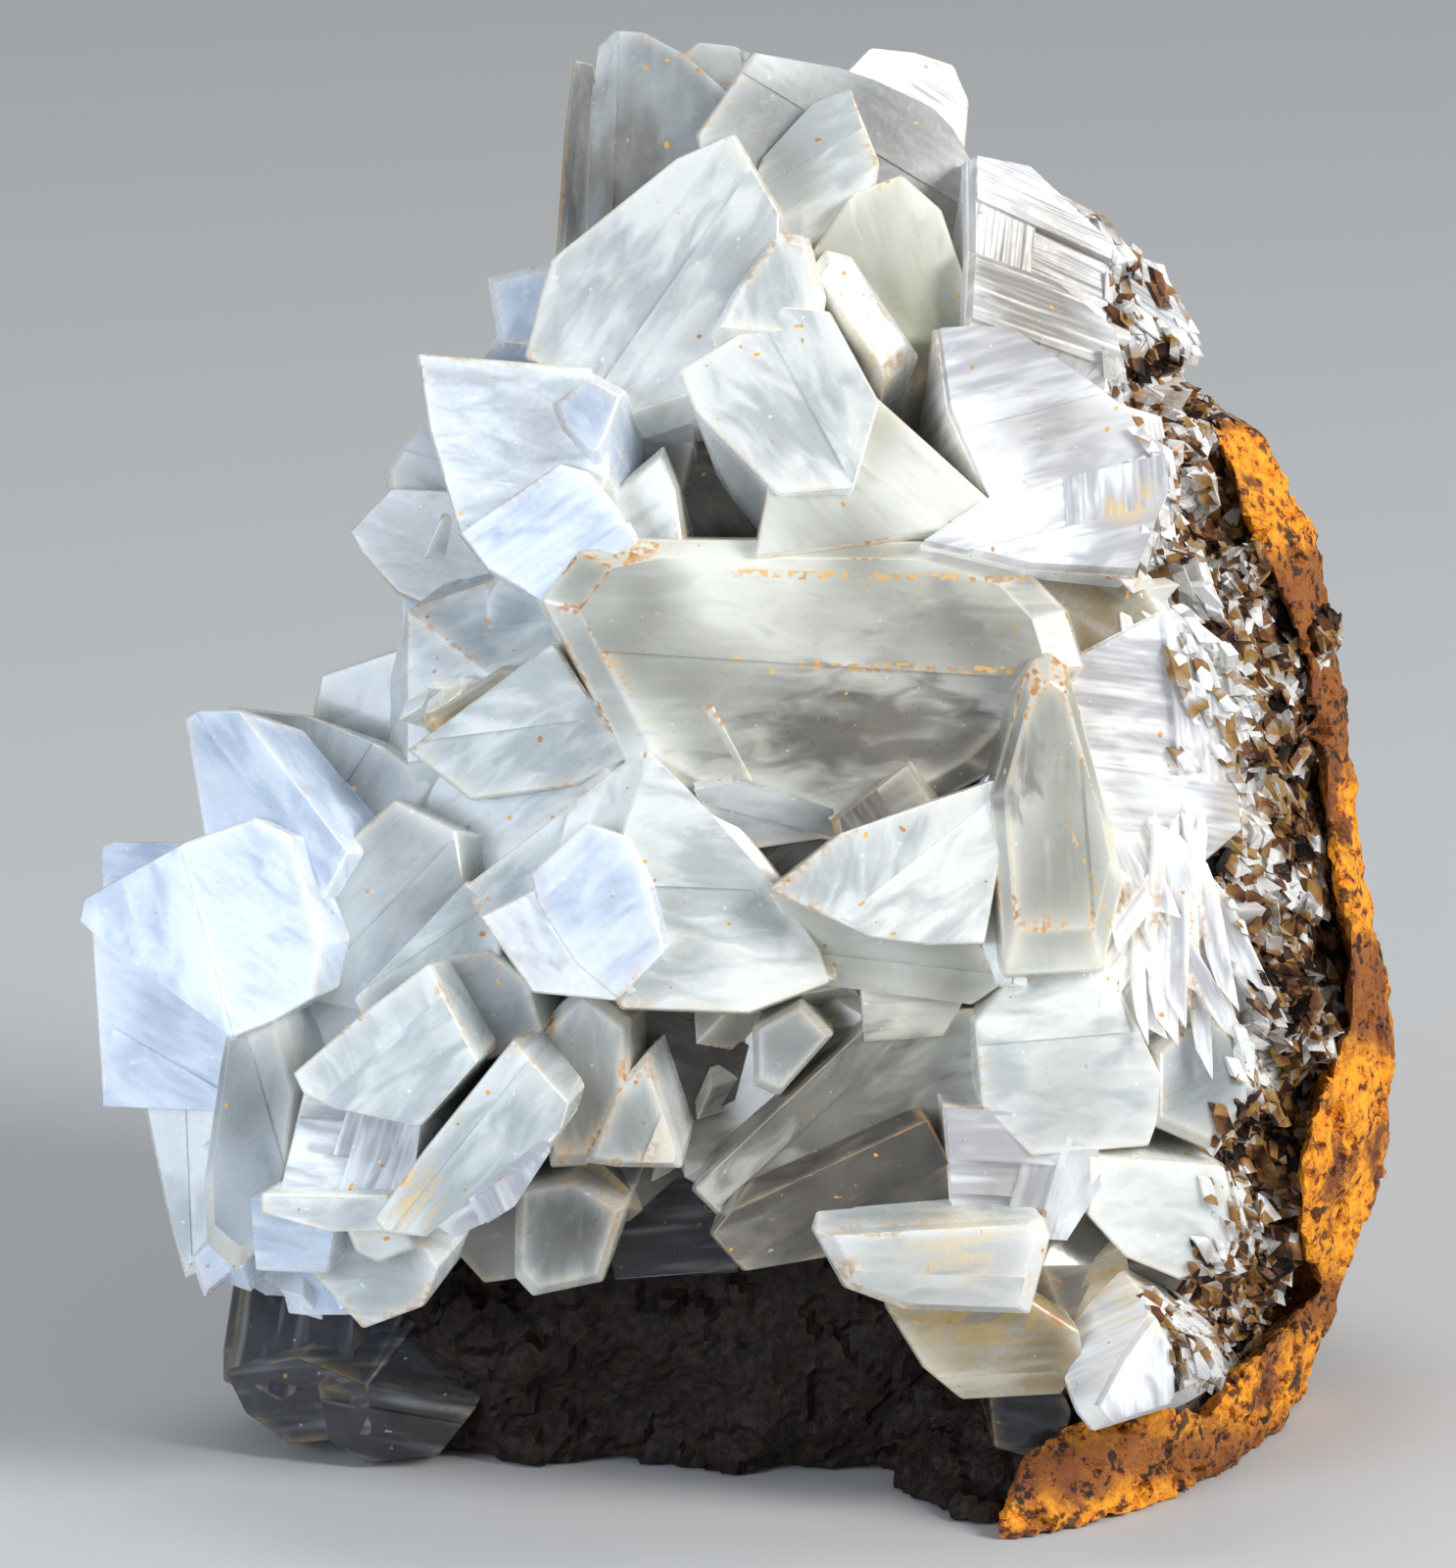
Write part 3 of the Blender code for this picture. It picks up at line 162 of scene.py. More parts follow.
# Crystals of the crest, from the top down to the broad blade in the middle.
CREST = (
    Crystal("crest_edge_plate", Kind.SMOKY, -13, (-0.5, 0.1),
            ((-13.2, 120.4), (-11.5, 119.9), (-11, 116), (-12, 104), (-14.7, 104), (-13.9, 115.2))),
    Crystal("crest_point", Kind.GREY, -11, (-0.25, 0.3),
            ((-11.2, 121.4), (-9.8, 122.8), (-7.5, 122.6), (-4.2, 120.8), (-0.2, 117.2), (0.4, 113),
             (-4, 107), (-12.2, 103), (-11.8, 117))),
    Crystal("crest_back_left", Kind.GREY, -18, (0.1, 0.4),
            ((-4.6, 120.8), (-3, 122.1), (-0.1, 121.8), (2, 120.8), (4, 114.2), (-1.8, 113.6))),
    Crystal("crest_plate", Kind.GREY, -11, (0.3, 0.2),
            ((1.6, 120.8), (8.7, 119.6), (11.5, 118.7), (16.2, 116.5), (17.9, 114.8), (20.3, 110.2),
             (19.7, 107.8), (19.1, 102.6), (8, 100), (-2, 106), (-3, 114))),
    Crystal("crest_knob", Kind.WHITE, -17, (0.45, 0.25),
            ((9.2, 119.4), (11.2, 121.5), (14.8, 121.2), (18, 120.2), (19.2, 117.4), (18.9, 113.6),
             (14.2, 112), (9.5, 115))),
    Crystal("crest_tooth", Kind.PALE, -7.5, (-0.12, 0.34),
            ((9.4, 117.8), (10.6, 114.1), (11.7, 111.8), (10.2, 107.6), (4, 103.8), (0.6, 107),
             (2.2, 112), (6.4, 116.6))),
    Crystal("upper_broad_face", Kind.PALE, -2, (-0.22, 0.2),
            ((-15, 103.6), (-11, 106.8), (-4.8, 111.8), (-0.2, 113.8), (3.6, 107.4), (3.4, 101),
             (-2, 93.2), (-8.8, 91), (-13.2, 93.6), (-17, 95.8)), 5.0),
    Crystal("upper_green_face", Kind.GREENISH, -5.5, (0.28, 0.05),
            ((9.6, 109), (13.6, 110.6), (16.8, 107.8), (20, 98.6), (18, 95.4), (14, 92.8), (8.8, 97.2),
             (6.2, 104))),
    Crystal("upper_narrow_blade", Kind.PALE, -2, (0.35, 0.3),
            ((5.9, 102.4), (7.4, 104.4), (9.4, 103.9), (14.9, 95.8), (12.2, 93.6)), 3.0, 0.8),
    Crystal("upper_small_face", Kind.PALE, 0.5, (0.1, 0.38),
            ((-1.9, 97.4), (-0.1, 100.9), (2.4, 102.6), (3.5, 106), (6, 105.3), (7.4, 100.4), (4.5, 96.9)),
            3.0, 0.85),
    Crystal("long_blade_head", Kind.PALE, 3.5, (-0.06, 0.16),
            ((-4.5, 94.4), (-1.8, 96), (4, 99.6), (7.6, 99.2), (11.6, 91.8), (9.6, 85), (3.4, 84.5),
             (-3.2, 91.2)), 4.5),
    Crystal("long_blade_tail", Kind.GREENISH, 3.2, (0.1, 0.1),
            ((4, 92.5), (10.6, 93), (20.8, 83.8), (18.8, 82.2), (11.2, 80.6), (1.7, 79.4), (3.2, 84.5)),
            4.5),
    Crystal("smoky_recess", Kind.SMOKY, -6, (0.2, -0.1),
            ((-5, 92), (-0.8, 92), (4.2, 85.5), (2.7, 79.2), (-4.4, 79.4), (-5.8, 85.8))),
    Crystal("recess_wedge", Kind.PALE, -1.5, (-0.3, 0.05),
            ((-10.6, 84.4), (-5.8, 88.4), (-4.5, 85.2), (-3.7, 79.4), (-8.8, 79.4), (-10, 82.4)), 3.0, 0.84),
    Crystal("recess_back", Kind.GREY, -4, (-0.1, -0.2),
            ((-11.4, 92.8), (-3.5, 93), (-3.4, 89), (-4.6, 83.8), (-10.4, 83.6), (-12, 87.4))),
    Crystal("bright_tooth", Kind.BLUE, 1.5, (-0.3, 0.42),
            ((-14.9, 91.8), (-12, 94.6), (-8.8, 92.8), (-10, 89.4), (-10.9, 87.6), (-11.6, 87.2),
             (-14.2, 90)), 3.0, 0.82),
)

# Crystals of the left shoulder, behind and beside the bay in the outline.
SHOULDER = (
    Crystal("shoulder_plate", Kind.PALE, -1, (-0.42, 0.06),
            ((-25.8, 96), (-23.8, 95.8), (-11.8, 94.7), (-10.4, 90.8), (-10.2, 86), (-12, 83),
             (-20.6, 81), (-22.1, 81), (-24.8, 89.8)), 4.5),
    Crystal("shoulder_lower_plate", Kind.BLUE, 2, (-0.3, -0.12),
            ((-22.3, 81.4), (-14.2, 86.9), (-11.8, 86.2), (-9.6, 83.4), (-8, 80.5), (-12, 78.2),
             (-15.5, 75.8), (-20, 78.4))),
    Crystal("shoulder_spur", Kind.BLUE, -12, (-0.3, 0.4),
            ((-20.3, 102.5), (-18.4, 102.4), (-14.6, 103.8), (-13.2, 101), (-14.4, 96), (-19.2, 96.4),
             (-19.8, 99.4)), 3.0, 0.8),
    Crystal("shoulder_spur_low", Kind.BLUE, -10, (-0.4, 0.2),
            ((-21.2, 94.6), (-19.6, 97.6), (-16.8, 97.4), (-14.2, 95.4), (-17, 92))),
    Crystal("bay_upper", Kind.GREY, -14, (-0.5, 0.1),
            ((-24.4, 91.4), (-27, 89.2), (-28.8, 86.7), (-28.2, 83.8), (-20.6, 81.6), (-20, 88.4)),
            4.0, 0.86),
    Crystal("bay_lower", Kind.GREY, -11, (-0.36, -0.12),
            ((-31.5, 81.7), (-28, 85.2), (-20.4, 84.8), (-19.4, 80.2), (-18, 76.8), (-22.7, 74.6),
             (-27.7, 76.7), (-30.7, 80.1))),
    Crystal("bay_glint", Kind.BLUE, -15, (-0.1, 0.5),
            ((-27.3, 76.9), (-21, 76.8), (-20.4, 71.6), (-27.2, 72))),
    Crystal("bay_floor_plate", Kind.GREY, -13, (-0.3, -0.1),
            ((-33.9, 69.9), (-30.6, 70.8), (-27, 72.2), (-21.2, 71.6), (-22.8, 63.2), (-28.8, 61),
             (-31.6, 62.6), (-34.7, 66.2))),
    Crystal("bay_step", Kind.PALE, -8, (-0.3, 0.3),
            ((-25.6, 67.2), (-24.2, 69.7), (-20.4, 72.2), (-17.8, 70.2), (-23.6, 65.4)), 3.0, 0.85),
    Crystal("bay_upright", Kind.PALE, -6, (-0.1, 0.1),
            ((-20.4, 76.2), (-19.2, 78.8), (-14.5, 77), (-14, 73), (-18, 70), (-20.6, 71.8)), 3.0, 0.85),
    Crystal("middle_rhomb_back", Kind.AMBER, -1.5, (-0.22, 0.34),
            ((-25.8, 66.2), (-18.8, 70.6), (-16.8, 70.4), (-16.5, 68.6), (-24, 64.6)), 2.0, 0.86),
    Crystal("middle_rhomb", Kind.PALE, 1.2, (-0.16, -0.14),
            ((-26.4, 63.8), (-22.9, 66.2), (-14.7, 72.4), (-13, 69.4), (-8.5, 63.3), (-13, 60.9),
             (-21.4, 59.8))),
    Crystal("under_rhomb", Kind.GREY, -6, (-0.05, -0.3),
            ((-26.6, 62.8), (-21.4, 62), (-12, 62.2), (-12.2, 56), (-18, 53.4), (-25.8, 57.6))),
)

# Crystals of the left wing, which hangs out beyond the rock.
LEFT_WING = (
    Crystal("wing_crown_front", Kind.BLUE, -5, (-0.55, 0.12),
            ((-44.9, 66.3), (-43.8, 66.9), (-40.4, 66.9), (-31.4, 55.4), (-33.4, 51.6), (-39, 55.8),
             (-42.9, 55), (-44, 61))),
    Crystal("wing_crown_back", Kind.GREY, -8, (-0.35, 0.2),
            ((-41.4, 67.2), (-34.9, 66.5), (-28.7, 64), (-24.8, 61), (-29.2, 54.4), (-34.4, 54))),
    Crystal("wing_tip_back", Kind.BLUE, -10, (-0.5, 0.3),
            ((-51.7, 55.8), (-50.6, 56.2), (-43.6, 56.1), (-43, 50), (-51.8, 50.8))),
    Crystal("wing_big_face", Kind.BLUE, -2.5, (-0.4, 0.14),
            ((-53.4, 49.8), (-53, 51.6), (-51.6, 51.8), (-44.8, 56.2), (-39.1, 58.2), (-36, 56.8),
             (-33.4, 48), (-34.3, 43.6), (-37.4, 41.8), (-40.9, 40.4), (-52, 48.6)), 5.0),
    Crystal("wing_lower_face", Kind.BLUE, -5, (-0.42, -0.12),
            ((-52.4, 49), (-40, 42), (-41.7, 34.4), (-51.5, 34.7), (-50.8, 36.6), (-49.8, 38.4),
             (-51, 42.6)), 5.0),
    Crystal("wing_long_point", Kind.PALE, -8.5, (-0.45, -0.1),
            ((-48.4, 35.6), (-41.7, 35.7), (-41.2, 22.6), (-44.9, 20.6), (-46.6, 26.8)), 4.0, 0.86),
    Crystal("wing_pillar", Kind.GREY, -2.5, (-0.15, -0.04),
            ((-41.3, 42.2), (-37, 44), (-35, 37), (-36.6, 25.4), (-40.4, 21.4), (-42.9, 23.6),
             (-43.1, 29)), 5.0, 0.8),
    Crystal("wing_pillar_tip", Kind.BLUE, -6, (-0.3, -0.3),
            ((-44.4, 22.4), (-43.3, 19.1), (-39.6, 22.2), (-41, 25.8)), 3.0, 0.8),
    Crystal("pentagon_face", Kind.GREY, -1, (-0.18, 0.06),
            ((-35.1, 52.9), (-27.7, 59.6), (-22.7, 57.2), (-21.9, 51.6), (-24.6, 47.2), (-29.2, 42.4),
             (-34.7, 43.6)), 4.5),
    Crystal("pentagon_filler", Kind.GREY, -4, (-0.3, -0.2),
            ((-38.4, 43.6), (-33.2, 49.2), (-28.8, 43.4), (-31.4, 38.2), (-35.4, 35.6), (-37, 37))),
    Crystal("slope_strip", Kind.PALE, 2.2, (-0.12, -0.16),
            ((-30.8, 43.6), (-22.9, 51.8), (-21.8, 53), (-19.4, 50.6), (-19, 46), (-24.5, 45.2),
             (-29.8, 41.6)), 3.5),
)

# Crystals in the middle, which stand furthest out.
MIDDLE = (
    Crystal("broad_blade", Kind.GREENISH, 3.2, (0.02, 0.05),
            ((-15.6, 75.9), (-12.6, 79.8), (-8, 80.8), (1.3, 80.2), (16.8, 80.6), (23.8, 78.2),
             (26.8, 75), (28.2, 70.4), (24.8, 66), (20.8, 62), (15.2, 59), (8.8, 56.4), (-0.4, 57.6),
             (-5.6, 60.8), (-8.6, 62.6), (-12, 69)), 5.0, 0.86),
    Crystal("blade_step", Kind.GREENISH, 4.4, (-0.2, -0.08),
            ((-5.9, 67.2), (-1.8, 67.4), (1.6, 61), (0, 57.4), (-3, 60.4)), 2.5),
    Crystal("pale_ledge", Kind.GREY, 5.2, (0.1, -0.42),
            ((-3.3, 60.6), (-0.2, 61.2), (8, 59), (8.4, 56.8), (-1, 55.4)), 2.5),
    Crystal("small_wedge", Kind.SMOKY, 5.6, (0.3, 0.2),
            ((7.8, 58.2), (14.3, 63.2), (17.4, 58.6), (12.8, 56.4), (8.3, 55.8)), 3.0, 0.86),
    Crystal("grey_green_wedge", Kind.SMOKY, 2.6, (0.1, 0.05),
            ((-1.8, 56.2), (2.9, 58.6), (8.4, 58.5), (9, 55.8), (3.3, 51.4), (0.6, 52)), 3.0),
    Crystal("ridge_wing", Kind.PALE, 5, (-0.3, 0.22),
            ((-21.9, 52.6), (-7.6, 63.7), (-6.4, 61.8), (-8, 55.6), (-12, 54.4), (-16.2, 51.8),
             (-20.4, 50))),
    Crystal("bright_rhomb", Kind.BLUE, 10.5, (-0.14, 0.16),
            ((-16.4, 53.8), (-12, 57.8), (-8.9, 56.8), (-7, 53), (-5.7, 47.5), (-9.4, 43.8),
             (-12.8, 46.6), (-15.9, 51.4))),
    Crystal("bright_rhomb_side", Kind.PALE, 8, (-0.42, -0.05),
            ((-20.6, 50.3), (-15, 53), (-8.4, 44.2), (-9.6, 43.6), (-16.3, 44.2)), 3.5),
    Crystal("central_face", Kind.PALE, 7, (0.16, 0.12),
            ((-9.2, 56.8), (-7, 63.6), (-3.2, 60), (3.2, 52.8), (6.8, 47.7), (7.6, 45), (1.1, 42.6),
             (-9, 43), (-12, 47)), 5.0),
    Crystal("central_side_strip", Kind.GREENISH, 5.2, (0.45, 0.3),
            ((-3.4, 60.6), (-1.6, 60), (8.4, 47.8), (8.2, 45.2), (6, 45)), 3.0),
    Crystal("diamond_face", Kind.PALE, 9.2, (0.05, 0.1),
            ((2.8, 52.5), (8.5, 57), (15.4, 57.8), (21.2, 61.4), (21.6, 56.4), (20, 48.2), (15.4, 48.1),
             (11, 48.7), (9.2, 50)), 3.5),
    Crystal("upright_prism", Kind.GREENISH, 7.4, (0.3, -0.04),
            ((23.3, 69.8), (24, 71), (25.4, 71.4), (26.8, 70.5), (27.4, 67.4), (30.5, 57), (31.3, 53),
             (29.7, 46), (21.8, 45.6), (20.6, 60), (22.8, 65)), 4.0, 0.78),
    Crystal("upright_prism_flank", Kind.PALE, 5.4, (-0.3, -0.02),
            ((19.4, 60), (23.2, 66), (24.4, 66), (23.6, 44.6), (21.2, 44.8), (19.2, 50)), 3.0),
    Crystal("diamond_underside", Kind.GREENISH, 4.8, (0, -0.4),
            ((2.8, 52.2), (9.8, 49.9), (19.3, 48.8), (21.8, 45), (19.2, 43.2), (12, 45.4), (7.2, 44.8),
             (5.2, 49)), 3.0),
    Crystal("filler_under_wing", Kind.GREY, 2.8, (-0.2, -0.1),
            ((-24.8, 46.8), (-20, 47.6), (-16.8, 45), (-15.6, 41), (-17.9, 39.4), (-21.4, 38.2)),
            3.5),
    Crystal("left_diamond", Kind.PALE, 6, (-0.16, 0.08),
            ((-35.6, 37.6), (-30.2, 42.3), (-24.8, 46.4), (-20.8, 38.6), (-25.4, 33.4), (-32.3, 34.8),
             (-34.8, 36))),
    Crystal("sparkling_face", Kind.WHITE, 3.4, (-0.08, -0.2),
            ((-34.7, 36.4), (-25, 35), (-25.6, 30.6), (-27, 27), (-36.8, 28))),
    Crystal("front_diamond", Kind.PALE, 9, (0.05, 0.06),
            ((-29, 26), (-24.9, 31.6), (-17.9, 40.3), (-13.4, 35.3), (-14, 33.2), (-21.6, 28.2),
             (-24.9, 24.6), (-28.2, 25))),
    Crystal("front_diamond_foot", Kind.WHITE, 6.8, (0.1, -0.5),
            ((-25.2, 26), (-17.6, 31), (-14.2, 33), (-17.6, 27.8), (-20.8, 25.8), (-23.2, 24.6)),
            2.5, 0.86),
    Crystal("ledge_strip", Kind.PALE, 6, (-0.05, 0.3),
            ((-38.2, 27.9), (-28, 27.8), (-27.6, 25), (-32.8, 24.9), (-38.2, 26.4)), 3.0),
    Crystal("ledge_block", Kind.BLUE, 2.4, (-0.2, -0.2),
            ((-39.2, 27.4), (-32, 26.8), (-33, 21.4), (-38.8, 21.6))),
    Crystal("curled_chip", Kind.PALE, 4.5, (0.1, -0.1),
            ((-31.8, 26), (-26.4, 25.2), (-25.6, 23.6), (-28.8, 22.3), (-30.6, 23.2)), 2.5, 0.86),
    Crystal("hanging_point", Kind.PALE, 0, (-0.05, -0.3),
            ((-34.8, 22), (-32.3, 24.8), (-26, 24.8), (-24.1, 21.8), (-25.4, 18.6), (-30.2, 16.8),
             (-32, 18.8))),
)

# Crystals below the middle, in the half shade, and the silky and stained ones at the lower right.
LOWER = (
    Crystal("clear_block", Kind.GREY, -1.5, (-0.1, -0.12),
            ((-17.8, 28.4), (-13.2, 29.4), (-8.8, 26.8), (-10.8, 20.6), (-16.4, 19.4), (-17.9, 21)),
            4.0, 0.85),
    Crystal("clear_block_left", Kind.SMOKY, -4, (-0.2, -0.2),
            ((-25, 25.4), (-16.6, 27), (-16.2, 21), (-20.4, 20.4))),
    Crystal("twisted_rhomb", Kind.GREENISH, 1.6, (-0.22, 0.02),
            ((-16.4, 41), (-12.3, 44.9), (-8.4, 42), (-8.6, 35.4), (-12, 30.2), (-14.9, 30),
             (-14.4, 33.8)), 3.5, 0.86),
    Crystal("small_pyramid", Kind.PALE, 2, (0.14, -0.08),
            ((-12.2, 30.4), (-9.8, 36.3), (-7, 39.4), (-4.3, 31.1), (-4.4, 29.9), (-9.6, 30)), 3.5, 0.84),
    Crystal("smoky_block", Kind.SMOKY, -3.5, (0.1, -0.12),
            ((-9.8, 44), (-2.4, 45), (5, 42), (3, 36.6), (-4.8, 33), (-8.8, 37.4))),
    # The next two crystals lie in the recess below the middle and are painted near black as painted shade.
    Crystal("dark_recess", Kind.DARK, -8, (0, -0.1),
            ((-6.8, 34.4), (4.6, 39), (7.6, 35.6), (2.8, 28.8), (-3, 27.2), (-10, 28))),
    Crystal("dark_amber", Kind.DARK, -7, (-0.1, 0.2),
            ((-10.8, 30), (-1.4, 30.4), (1, 26.8), (0.2, 21.4), (-9.8, 20.6))),
    Crystal("grey_shard", Kind.GREY, 1.8, (-0.2, 0),
            ((1.5, 41.4), (5.4, 43.6), (8, 40.8), (5, 37.9), (3.6, 35.8), (1.6, 36.6)), 3.0, 0.84),
    Crystal("pale_chip", Kind.GREENISH, 3, (0.1, 0.1),
            ((10.2, 44.4), (12.3, 46.8), (19.4, 44.9), (16.8, 40.6), (10.5, 40.2)), 3.0),
    Crystal("grey_slab", Kind.GREENISH, 0.6, (0.12, -0.3),
            ((-3.2, 28.2), (2.8, 34), (12, 42.6), (20.2, 42.8), (21, 33.8), (16.4, 32), (-0.4, 25.4)),
            4.5),
    Crystal("grey_slab_lower", Kind.SMOKY, 2.6, (0.15, -0.26),
            ((-1.8, 24.6), (-0.4, 26.4), (15.6, 33.8), (19.2, 27), (18.8, 24.6), (6.8, 24), (0.8, 21.6)),
            4.0),
    Crystal("clear_wedge", Kind.PALE, 5, (0.08, -0.12),
            ((6.4, 25), (24.8, 26), (25.4, 24.4), (23.8, 18.2), (13.6, 18.6), (9, 20.3)), 4.5, 0.85),
    Crystal("stained_wedge", Kind.AMBER, 2, (0.12, -0.32),
            ((12.4, 18.6), (23.6, 19.4), (27.9, 16.6), (28.2, 14.4), (26.4, 11.6), (18.4, 11.2),
             (15.4, 13.7))),
    Crystal("white_spur", Kind.WHITE, 3, (0.25, -0.05),
            ((27.8, 10.2), (30.4, 15), (33.4, 19.2), (35, 16.2), (38.7, 15.8), (39.4, 13), (36, 10.8),
             (29, 8.7)), 4.0, 0.8),
    Crystal("silky_face", Kind.WHITE, 2.2, (0.05, -0.1),
            ((16.8, 35), (22, 34.8), (29.4, 31.6), (29.6, 28.6), (26.8, 24.2), (17.6, 24.8))),
    Crystal("silky_block", Kind.PALE, 2, (0.2, -0.2),
            ((28.7, 30.8), (35.2, 30.4), (39.6, 30), (40.7, 25.8), (39.8, 22.1), (36, 20.9), (31.7, 22.7),
             (28.7, 26))),
    Crystal("pale_mass", Kind.PALE, 4, (0.05, 0.02),
            ((19.4, 41.8), (23.2, 46.2), (30.4, 46), (32.2, 40.6), (35, 36.2), (33.4, 31.8), (24, 31),
             (20, 35)), 4.5),
    Crystal("glassy_block", Kind.GREY, 1.8, (0.25, 0.1),
            ((33.8, 39.8), (38, 43), (41.7, 40.2), (42, 35.2), (38.4, 31.4), (33.8, 33.4)), 4.0, 0.84),
    Crystal("amber_filler", Kind.AMBER, -1, (0.1, -0.2),
            ((22.6, 19.6), (31.6, 23.4), (33, 17), (28.4, 14.4))),
    # These crystals lie in the shade of the underside and are painted near black as painted shade.
    Crystal("foot_crystal", Kind.DARK, -4, (0.1, -0.1),
            ((20.4, 14.8), (25.8, 14), (27.4, 9.8), (26.4, 5.6), (21.2, 7))),
    Crystal("shaded_block", Kind.DARK, -20, (-0.2, 0.22),
            ((-42.2, 14.3), (-41, 22.5), (-35, 23), (-30.6, 17.8), (-30.4, 13.2), (-34, 11),
             (-37.4, 9.6), (-42.2, 11.8)), 5.0, 0.86),
    Crystal("shaded_block_low", Kind.DARK, -18, (-0.3, -0.2),
            ((-42, 12.6), (-35.9, 13.8), (-30.3, 11.6), (-30, 7.5), (-36.6, 6.6), (-40.3, 9.2)), 5.0),
    Crystal("shaded_shards", Kind.DARK, -17, (-0.05, -0.3),
            ((-34.3, 11.6), (-26.4, 10.2), (-21.4, 9.6), (-24.4, 5.8), (-30.4, 5.2), (-33.4, 7))),
)

# Broken white calcite of the right side, which split along its cleavage.
CLEAVED = (
    Crystal("cleaved_crest", Kind.WHITE, -9, (0.4, 0.2),
            ((19, 112), (23.4, 111.2), (26.8, 108), (30.6, 104.6), (29.8, 97.6), (24, 99), (19, 101.4)),
            4.0),
    Crystal("cleaved_crest_low", Kind.WHITE, -7, (0.3, -0.05),
            ((19, 104.4), (25.8, 102), (30.6, 98.2), (32.2, 92), (26.8, 93.6), (21.4, 96.7), (18.6, 96.8)),
            4.0),
    Crystal("cleaved_crest_outer", Kind.WHITE, -16, (0.6, 0.2),
            ((28.4, 105.2), (33.6, 103.6), (34.5, 100.8), (37, 97.2), (35.2, 92.6), (29.2, 96.6))),
    Crystal("cleaved_rhomb", Kind.WHITE, -0.5, (0.12, 0.12),
            ((16.3, 97.8), (19, 98), (22.2, 97.9), (26.9, 94.6), (31.6, 91.4), (34, 87.4), (30.6, 86),
             (20.7, 83.4), (17.2, 91.2))),
    Crystal("cleaved_wing", Kind.WHITE, 2.2, (0.1, 0.3),
            ((15, 80.3), (20.6, 84), (34.8, 87.4), (35.2, 84.8), (32.4, 77.8), (27.9, 79), (23.6, 78.3)),
            3.5),
    Crystal("beige_block", Kind.AMBER, 0.6, (0.2, -0.05),
            ((23.4, 78.6), (27.9, 80.3), (33.2, 76.8), (35.6, 73.2), (32.6, 70.6), (27.9, 69.6),
             (26, 74.9)), 3.5),
    Crystal("white_block", Kind.WHITE, 0, (0.2, 0.02),
            ((26.4, 70.8), (34.4, 75), (37.4, 73.4), (39.9, 67.2), (40.8, 57.2), (37, 54), (30.9, 54.6),
             (28.6, 62.4)), 4.5),
    Crystal("white_spray", Kind.WHITE, -0.6, (0.15, -0.12),
            ((30.8, 56.4), (36.8, 56), (39.6, 50.5), (42.6, 42.6), (37.8, 41.6), (34.4, 39),
             (31.2, 41), (29.6, 45.2))),
)

# The massive calcite behind the crystals.
LUMPS = (
    Lump(Kind.BLUE, (-31, 42, -17), (19, 19, 13)),
    Lump(Kind.BLUE, (-36, 27, -14), (9.5, 9.5, 9.5)),
    Lump(Kind.PALE, (-10, 62, -14), (23, 25, 16)),
    Lump(Kind.PALE, (-14, 82, -17), (12, 15, 11)),
    Lump(Kind.PALE, (6, 94, -18), (18, 22, 13)),
    Lump(Kind.GREENISH, (14, 40, -11), (25, 21, 12)),
    # The smoky lumps below sit low in the specimen, and their dark colour is partly painted shade.
    Lump(Kind.SMOKY, (-14, 36, -14), (19, 15, 13)),
    Lump(Kind.WHITE, (27, 66, -11), (12.5, 35, 10)),
    Lump(Kind.SMOKY, (25, 22, -8), (14, 12.5, 9.5)),
    # Painted shade: this lump, low in the underside, is painted near black.
    Lump(Kind.DARK, (-33, 16, -27), (9.5, 9, 9)),
)
# How many of them, from the first, have filler rhombs.
FILLED_LUMPS = 8

# Where each kind of calcite is smoky, in patches that are partly painted shade in recesses and below the
# middle, and where it is stained yellow.
SMOKE_AND_SHADE_PATCHES = {
    Kind.PALE: (Patch((-8, 33), (4, 5), 0.55), Patch((17, 21), (9, 4), 0.35), Patch((27, 36), (4, 5), 0.3)),
    Kind.GREENISH: (
        Patch((9, 65), (12, 6), 0.9), Patch((19, 63), (7, 6), 0.9), Patch((18, 72), (12, 7), 0.55),
        Patch((8, 34), (13, 10), 0.85), Patch((14, 101), (8, 10), 0.3), Patch((26, 60), (4, 14), 0.25),
        Patch((-12, 36), (5, 8), 0.5), Patch((12, 60), (4, 4), 0.4), Patch((20, 17), (9, 5), 0.35),
    ),
    Kind.GREY: (
        Patch((-9, 111), (5, 8), 0.7), Patch((-25, 79), (6, 7), 0.6), Patch((-4, 86), (8, 6), 0.6),
        Patch((-13, 24), (6, 5), 0.6), Patch((12, 113), (10, 8), 0.35), Patch((5, 41), (5, 5), 0.4),
    ),
    Kind.SMOKY: (Patch((0, 38), (9, 8), 0.95), Patch((9, 28), (13, 8), 0.9)),
    Kind.WHITE: (
        Patch((25, 102), (7, 9), 0.85), Patch((36, 80), (5, 5), 0.5), Patch((33, 31), (6, 6), 0.5),
        Patch((27, 90), (7, 3), 0.4), Patch((22, 28), (5, 4), 0.5),
    ),
}
STAIN_PATCHES = {
    Kind.AMBER: (Patch((20, 19), (8, 4.5), 0.8), Patch((33, 20), (6, 5), 0.6)),
    Kind.GREENISH: (Patch((12.5, 113.5), (3.2, 2.2), 0.7), Patch((20, 20), (8, 5), 0.7)),
    Kind.PALE: (Patch((-26, 28), (3, 4), 0.9), Patch((18, 24), (6, 4), 0.6), Patch((-39, 62), (4, 1.5), 0.6)),
    Kind.WHITE: (
        Patch((31.5, 84), (3.2, 2.4), 0.9), Patch((43, 60), (5, 14), 0.5), Patch((33, 20), (6, 5), 0.6),
    ),
}
GREEN_TINGE = Patch((15.5, 99.5), (4.5, 7.5), 0.55)
SEAMS = (
    Seam(0, 24, 78.0, -0.02),
    Seam(5, 23, 70.6, -0.03),
    Seam(27, 36, 57.5, -2.4),
)

